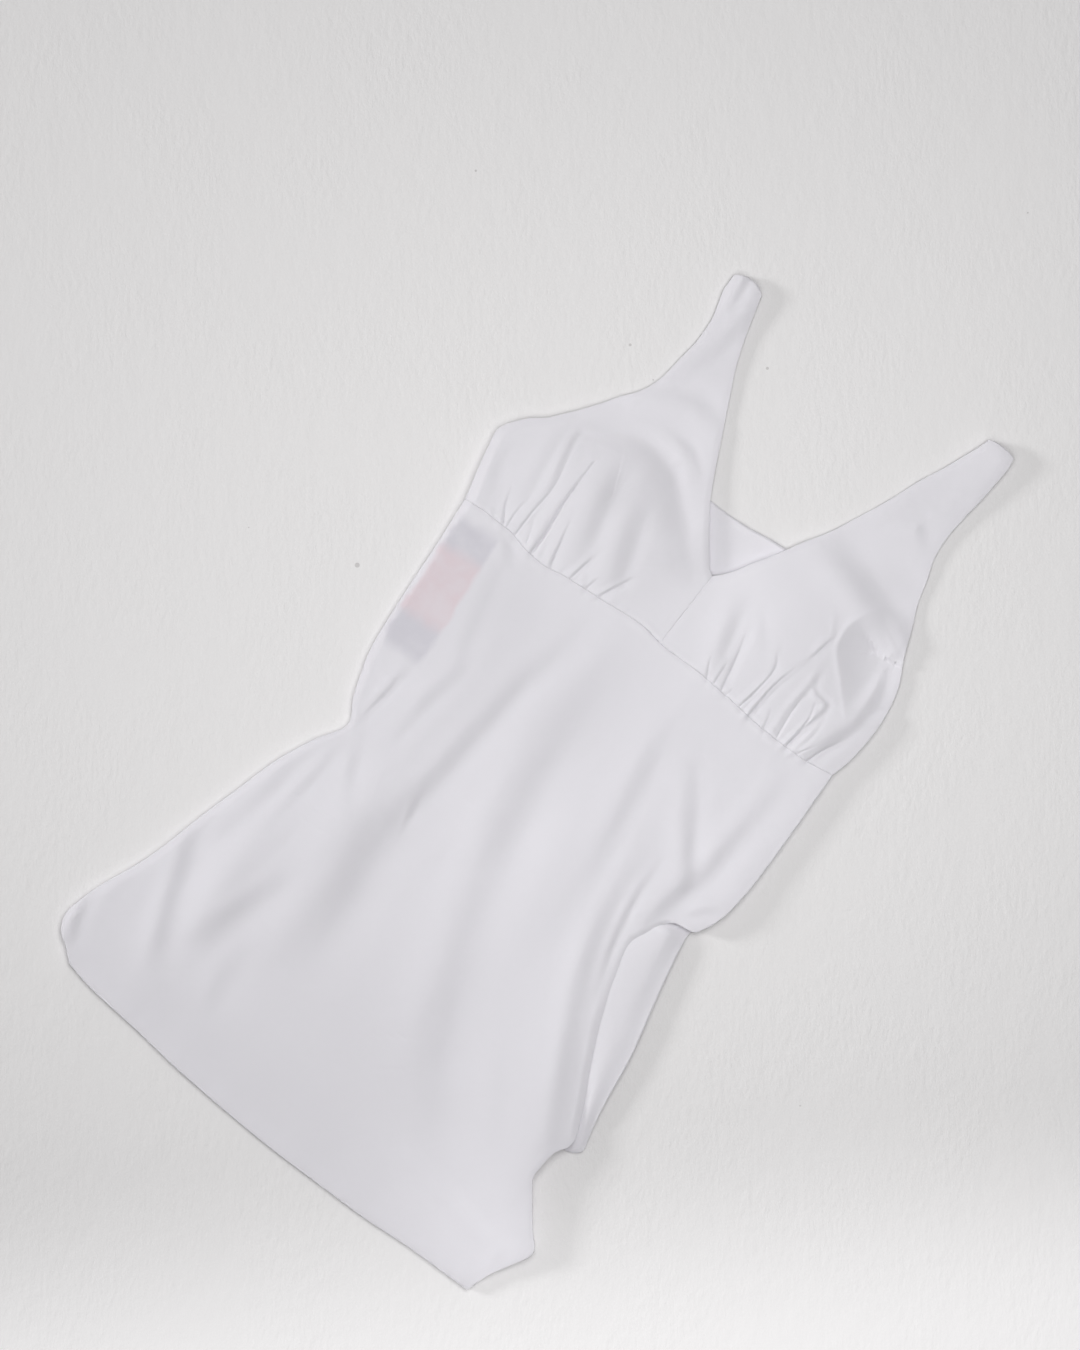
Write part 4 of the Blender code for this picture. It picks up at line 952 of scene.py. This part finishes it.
class Nodes:
    """Short ways to add and join nodes in one material."""

    def __init__(self, name):
        self.material = bpy.data.materials.new(name)
        self.material.use_nodes = True
        self.tree = self.material.node_tree
        self.surface = self.tree.nodes["Principled BSDF"]
        self.where = self.add("TexCoord").outputs["Object"]

    def feed(self, socket, value):
        """Links a socket to another node's output, or sets its own value."""
        if isinstance(value, bpy.types.NodeSocket):
            self.tree.links.new(value, socket)
        else:
            socket.default_value = value

    def add(self, kind, inputs=(), **settings):
        node = self.tree.nodes.new("ShaderNode" + kind)
        for key, value in settings.items():
            setattr(node, key, value)
        for socket, value in inputs:
            self.feed(node.inputs[socket], value)
        return node

    def math(self, operation, *values, clamp=False):
        node = self.add("Math", enumerate(values), operation=operation, use_clamp=clamp)
        return node.outputs[0]

    def vector(self, operation, *values, result="Vector"):
        return self.add("VectorMath", enumerate(values), operation=operation).outputs[result]

    def mix(self, share, first, second, kind="MIX"):
        inputs = ((0, share), (6, first), (7, second))
        return self.add("Mix", inputs, data_type="RGBA", blend_type=kind).outputs[2]

    def ranged(self, value, start, end, low, high, kind="SMOOTHSTEP"):
        """Low where a value is at the start, high where it is at the end, and a change between."""
        names = ("Value", "From Min", "From Max", "To Min", "To Max")
        inputs = zip(names, (value, start, end, low, high))
        return self.add("MapRange", inputs, interpolation_type=kind).outputs[0]

    def noise(self, vector, scale, detail=2.0, roughness=0.5):
        inputs = (("Vector", vector), ("Scale", scale), ("Detail", detail), ("Roughness", roughness))
        return self.add("TexNoise", inputs).outputs["Fac"]

    def wave(self, scale, way):
        inputs = (("Vector", self.where), ("Scale", scale))
        return self.add("TexWave", inputs, bands_direction=way).outputs["Fac"]

    def mapped(self, vector, scale=(1, 1, 1), rotation=(0, 0, 0), location=(0, 0, 0)):
        inputs = (("Vector", vector), ("Location", location), ("Rotation", rotation), ("Scale", scale))
        return self.add("Mapping", inputs).outputs[0]

    def bump(self, height, distance, strength, *normal):
        """A relief with its depth in millimetres, on top of another's normal if one is given."""
        inputs = [("Height", height), ("Distance", distance * MM), ("Strength", strength)]
        inputs += [("Normal", value) for value in normal]
        return self.add("Bump", inputs).outputs[0]

    def set(self, **values):
        for name, value in values.items():
            self.feed(self.surface.inputs[name.replace("_", " ")], value)


# The yarns' spacing in metres, and the length of a wave of that texture at a scale of 1
YARN = 0.42 * MM
WAVE_LENGTH = 0.314159


def woven(nodes):
    """Height of a plain weave: two sets of yarns that pass over each other."""
    warp, weft = (nodes.wave(WAVE_LENGTH / YARN / 2, way) for way in ("X", "Y"))
    return nodes.math("MULTIPLY", warp, weft)


# Painted shade and painted light: soft patches where the cloth's colour is darker to stand in for shade, as in
# folds, by the hem and on the strip, or lighter to stand in for light, as at the skirt's lower right and in
# spots on the bust: middle, reach and the tone in the middle
PAINTED_PATCH_COLUMNS = "x y across along tone"
SKIRT_PAINTED_SHADE_AND_LIGHT = table(
    PAINTED_PATCH_COLUMNS,
    (-105, 60, 130, 170, 0.94),
    (-20, -260, 250, 170, 0.955),
    (-115, -110, 90, 150, 0.965),
    (-88, -130, 46, 120, 0.965),
    (-138, 112, 60, 80, 0.97),
    (-110, -352, 300, 60, 0.968),
    (-2, 70, 50, 170, 0.94),
    (215, -345, 190, 120, 1.16),
    (222, -335, 60, 90, 1.06),
    (145, 5, 60, 50, 0.96),
    (133, -50, 26, 95, 0.95),
    (-178, -60, 40, 60, 0.965),
)
BACK_PAINTED_SHADE = table(PAINTED_PATCH_COLUMNS, (154, -100, 44, 170, 0.95))
BUST_PAINTED_SHADE_AND_LIGHT = table(
    PAINTED_PATCH_COLUMNS,
    (-115, 225, 120, 110, 0.955),
    (-42, 264, 40, 34, 1.03),
    (120, 400, 70, 120, 0.94),
    (-120, 400, 60, 120, 0.95),
    (-20, 180, 480, 90, 0.955),
    (168, 190, 30, 60, 0.95),
    (150, 286, 30, 24, 0.94),
    (128, 322, 36, 20, 0.965),
    (-48, 229, 22, 24, 1.04),
    (-165, 248, 26, 28, 0.965),
    (-103, 240, 18, 32, 0.965),
)


# Paints one soft patch of shade or light into the colour, darker or lighter toward its middle.
def add_painted_patch(nodes, colour, painted_patch):
    scale = (1 / (painted_patch.across * MM), 1 / (painted_patch.along * MM), 0)
    start = ((CENTRE[0] - painted_patch.x) / painted_patch.across, (CENTRE[1] - painted_patch.y) / painted_patch.along, 0)
    away = nodes.vector("LENGTH", nodes.mapped(nodes.where, scale, location=start), result="Value")
    tone = (*[painted_patch.tone] * 3, 1.0)
    return nodes.mix(nodes.ranged(away, 0.0, 1.0, 1.0, 0.0), colour, tone, "MULTIPLY")


def cloth_material(name, light, shade, painted_patches=(), over_label=False):
    """Soft white woven cloth with a faint sheen and slight slubs, and patches of painted shade and painted
    light in its colour.
    """
    nodes = Nodes(name)
    broad = nodes.noise(nodes.where, scale=9.0)
    slubs = nodes.noise(nodes.mapped(nodes.where, scale=(1.0, 0.28, 1.0)), scale=620.0, roughness=0.6)
    broad_tone = nodes.math("MULTIPLY_ADD", broad, 0.7, 0.15)
    slub_tone = nodes.math("MULTIPLY", nodes.math("SUBTRACT", slubs, 0.5), 0.5)
    colour = nodes.mix(nodes.math("ADD", broad_tone, slub_tone, clamp=True), shade, light)
    # Painted shade and painted light: soft patches that darken or lighten the colour.
    for painted_patch in painted_patches:
        colour = add_painted_patch(nodes, colour, painted_patch)
    if over_label:
        colour = tint_over_label(nodes, colour)
    weave_bump = nodes.bump(woven(nodes), 0.03, 0.5)
    slub_bump = nodes.bump(slubs, 0.05, 0.6, weave_bump)
    crumple = nodes.noise(nodes.where, scale=70.0, detail=3.0, roughness=0.55)
    nodes.set(Base_Color=colour, Roughness=0.82, Specular_IOR_Level=0.3, Sheen_Weight=0.12,
              Sheen_Roughness=0.5, Normal=nodes.bump(crumple, 0.35, 0.5, slub_bump))
    return nodes.material


# The label's tint, in millimetres: how far it spreads and wavers, how soft its sides and ends are, and the
# middle and half the length of its rose field, up from the label's middle
TINT_GREY = (0.610, 0.596, 0.645, 1.0)
TINT_ROSE = (0.690, 0.598, 0.635, 1.0)
TINT_SPREAD = 1.5
TINT_WAVER = 10
TINT_SIDE_BLUR = 3
TINT_END_BLUR = 7
ROSE_MIDDLE = 2
ROSE_HALF = 32


def tint_over_label(nodes, colour):
    """The faint tint of the label that lies under the cloth: a rose field between two grey ones."""
    middle = (*((LABEL_MIDDLE[axis] - CENTRE[axis]) * MM for axis in (0, 1)), 0.0)
    shifted = nodes.vector("SUBTRACT", nodes.where, middle)
    turned = nodes.mapped(shifted, rotation=(0, 0, np.radians(-LABEL_LEAN)))
    blur = nodes.noise(nodes.where, scale=60.0)
    parts = nodes.add("SeparateXYZ", ((0, turned),)).outputs
    wobble = nodes.math("MULTIPLY", nodes.math("SUBTRACT", blur, 0.5), TINT_WAVER * MM)
    across = nodes.math("ADD", parts[0], wobble)
    along = nodes.math("ADD", parts[1], wobble)
    from_rose = nodes.math("ADD", along, -ROSE_MIDDLE * MM)
    inside_across = within(nodes, across, LABEL_WIDTH / 2 + TINT_SPREAD, TINT_SIDE_BLUR)
    inside_along = within(nodes, along, LABEL_LENGTH / 2, TINT_END_BLUR)
    tint = nodes.mix(within(nodes, from_rose, ROSE_HALF, TINT_END_BLUR), TINT_GREY, TINT_ROSE)
    mottle = nodes.ranged(blur, 0.3, 0.6, 0.65, 1.0, "LINEAR")
    inside = nodes.math("MULTIPLY", inside_across, inside_along)
    return nodes.mix(nodes.math("MULTIPLY", inside, mottle), colour, tint)


def within(nodes, value, limit, blur):
    """1 where a distance is below a limit and 0 above it, with a soft change between."""
    distance = nodes.math("ABSOLUTE", value)
    return nodes.ranged(distance, (limit - blur) * MM, (limit + blur) * MM, 1.0, 0.0)


TAPE_DARK = (0.62, 0.60, 0.64, 1.0)
TAPE_LIGHT = (0.72, 0.70, 0.74, 1.0)


def label_material():
    nodes = Nodes("label_tape")
    colour = nodes.mix(nodes.noise(nodes.where, scale=120.0), TAPE_DARK, TAPE_LIGHT)
    ribs = nodes.bump(nodes.wave(260.0, "Y"), 0.04, 0.5)
    nodes.set(Base_Color=colour, Roughness=0.6, Normal=ribs)
    return nodes.material


# Painted light: the floor's colour glows softly beyond a line across the picture's lower part, standing in for
# light that falls there: the way across that line, where the glow starts and is full, in metres, and how
# strong it is
GLOW_WAY = (0.679, -0.734, 0.0)
GLOW_START = 0.315
GLOW_END = 0.553
PAINTED_GLOW = 0.257
GLOW_COLOUR = (1.0, 0.99, 1.0, 1.0)
PLASTER_DARK = (0.780, 0.770, 0.772, 1.0)
PLASTER_LIGHT = (0.796, 0.784, 0.782, 1.0)
SPECK_COLOUR = (0.30, 0.28, 0.27, 1.0)
FLOOR_HALF = 3.0
# How far the photograph turns the dress, in degrees
TURN = 38


def floor_material():
    """Pale rough plaster: upright brush marks, small lumps, a few dark specks and a painted glow of light
    toward the picture's lower part.
    """
    nodes = Nodes("pale_plaster")
    where = nodes.where
    upright = nodes.mapped(where, rotation=(0, 0, np.radians(-TURN)))
    painted_patches = nodes.noise(where, scale=9.0, roughness=0.6)
    rough = nodes.ranged(painted_patches, 0.35, 0.62, 0.25, 1.0, "LINEAR")
    brushed = nodes.noise(nodes.mapped(upright, (1.0, 0.42, 1.0)), 210.0, detail=3.0, roughness=0.55)
    grain = nodes.noise(where, scale=520.0, detail=3.0, roughness=0.6)
    lumps = nodes.noise(nodes.mapped(upright, (1.0, 0.6, 1.0)), scale=60.0)
    # Small dark specks, in the colour only.
    specks = nodes.add("TexVoronoi", (("Vector", where), ("Scale", 26.0))).outputs["Distance"]
    speck_noise = nodes.noise(where, scale=11.0, detail=1.0)
    speck_size = nodes.math("MULTIPLY", nodes.math("SUBTRACT", speck_noise, 0.5, clamp=True), 0.3)
    speck = nodes.math("LESS_THAN", specks, speck_size)
    colour = nodes.mix(nodes.noise(where, scale=3.0), PLASTER_DARK, PLASTER_LIGHT)
    colour = nodes.mix(nodes.math("MULTIPLY", speck, 0.4), colour, SPECK_COLOUR)
    # Painted light: the glow beyond the line, given as the floor's emission.
    across = nodes.vector("DOT_PRODUCT", where, GLOW_WAY, result="Value")
    painted_glow = nodes.ranged(across, GLOW_START, GLOW_END, 0.0, PAINTED_GLOW)
    height = nodes.math("MULTIPLY", brushed, rough)
    height = nodes.math("ADD", height, nodes.math("MULTIPLY", lumps, 0.8))
    brush_bump = nodes.bump(height, 0.9, 0.8)
    nodes.set(Base_Color=colour, Roughness=0.85, Specular_IOR_Level=0.2, Emission_Color=GLOW_COLOUR,
              Emission_Strength=painted_glow, Normal=nodes.bump(grain, 0.35, 0.6, brush_bump))
    return nodes.material


def build_floor():
    mesh = bpy.data.meshes.new("floor")
    corners = [(FLOOR_HALF * x, FLOOR_HALF * y, 0) for x, y in ((-1, -1), (1, -1), (1, 1), (-1, 1))]
    mesh.from_pydata(corners, [], [(0, 1, 2, 3)])
    mesh.materials.append(floor_material())
    add_object("floor", mesh)


# The soft light all round
SKY_STRENGTH = 0.20
SKY_COLOUR = (1.0, 0.995, 1.0, 1.0)

# Lights that shine on the dress's middle, with the way to each in degrees, and lights that shine straight
# down. The pool hangs low over the top of the skirt and lights the middle most. Metres and watts.
LIGHTS = table(
    "name azimuth elevation distance size power",
    ("key", 205, 20, 4.0, 0.70, 67.6),
    ("second", 38, 31, 5.0, 1.9, 8.0),
)
HANGING_LIGHTS = table(
    "name place size power",
    ("pool", (0.064, -0.036, 1.0), 0.6, 3.33),
    ("overhead", (0.036, 0.667, 2.3), 1.5, 21.2),
)


def add_lamp(light, place, way):
    """A soft square light at a place, shining against the way that leads to it."""
    data = bpy.data.lights.new(light.name, "AREA")
    data.shape = "SQUARE"
    data.size = light.size
    data.energy = light.power
    lamp = add_object(light.name, data)
    lamp.location = place
    lamp.rotation_euler = (-way).to_track_quat("-Z", "Y").to_euler()
    lamp.visible_camera = False


def build_lights():
    for light in LIGHTS:
        azimuth, elevation = np.radians((light.azimuth, light.elevation))
        level = np.cos(elevation)
        way = Vector((level * np.cos(azimuth), level * np.sin(azimuth), np.sin(elevation)))
        add_lamp(light, way * light.distance, way)
    for light in HANGING_LIGHTS:
        add_lamp(light, light.place, Vector((0, 0, 1)))
    world = bpy.data.worlds.new("studio")
    world.use_nodes = True
    background = world.node_tree.nodes["Background"]
    background.inputs["Color"].default_value = SKY_COLOUR
    background.inputs["Strength"].default_value = SKY_STRENGTH
    bpy.context.scene.world = world
    bpy.context.scene.view_settings.view_transform = "Standard"


# The camera's lens and sensor in millimetres, its place and the picture's length on the floor, in metres
LENS = 85
SENSOR = 36
CAMERA_PLACE = (-0.0520, 0.0314)
PICTURE_LENGTH = 1.1475


def build_camera():
    """Straight above the dress, turned as the photograph is."""
    data = bpy.data.cameras.new("camera")
    data.sensor_width = SENSOR
    data.lens = LENS
    camera = add_object("camera", data)
    camera.location = (*CAMERA_PLACE, LENS / SENSOR * PICTURE_LENGTH)
    camera.rotation_euler = (0, 0, np.radians(TURN))
    bpy.context.scene.camera = camera


def dress(piece, node):
    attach(piece, "root")
    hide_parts(node)


WHITE = (0.772, 0.758, 0.797, 1.0)
WHITE_SHADE = (0.752, 0.738, 0.775, 1.0)
SKIRT_WHITE = (0.755, 0.741, 0.780, 1.0)
SKIRT_SHADE = (0.735, 0.721, 0.758, 1.0)

build_floor()
build_lights()
build_camera()
cloth = cloth_material("white_cloth", WHITE, WHITE_SHADE, BACK_PAINTED_SHADE)
skirt_cloth = cloth_material("white_cloth_of_skirt", SKIRT_WHITE, SKIRT_SHADE, SKIRT_PAINTED_SHADE_AND_LIGHT, True)
bust_cloth = cloth_material("white_cloth_of_bust", WHITE, WHITE_SHADE, BUST_PAINTED_SHADE_AND_LIGHT)
tape = label_material()
skirt = build_skirt(skirt_cloth)
left_bust = build_bust("house_dress_bust_left", LEFT_BUST, bust_cloth)
right_bust = build_bust("house_dress_bust_right", RIGHT_BUST, bust_cloth)
back = build_back(cloth)
label = build_label(tape)
dress(skirt, "front_skirt")
dress(left_bust, "front_bust_left")
dress(right_bust, "front_bust_right")
dress(back, "back")
dress(label, "side_label")
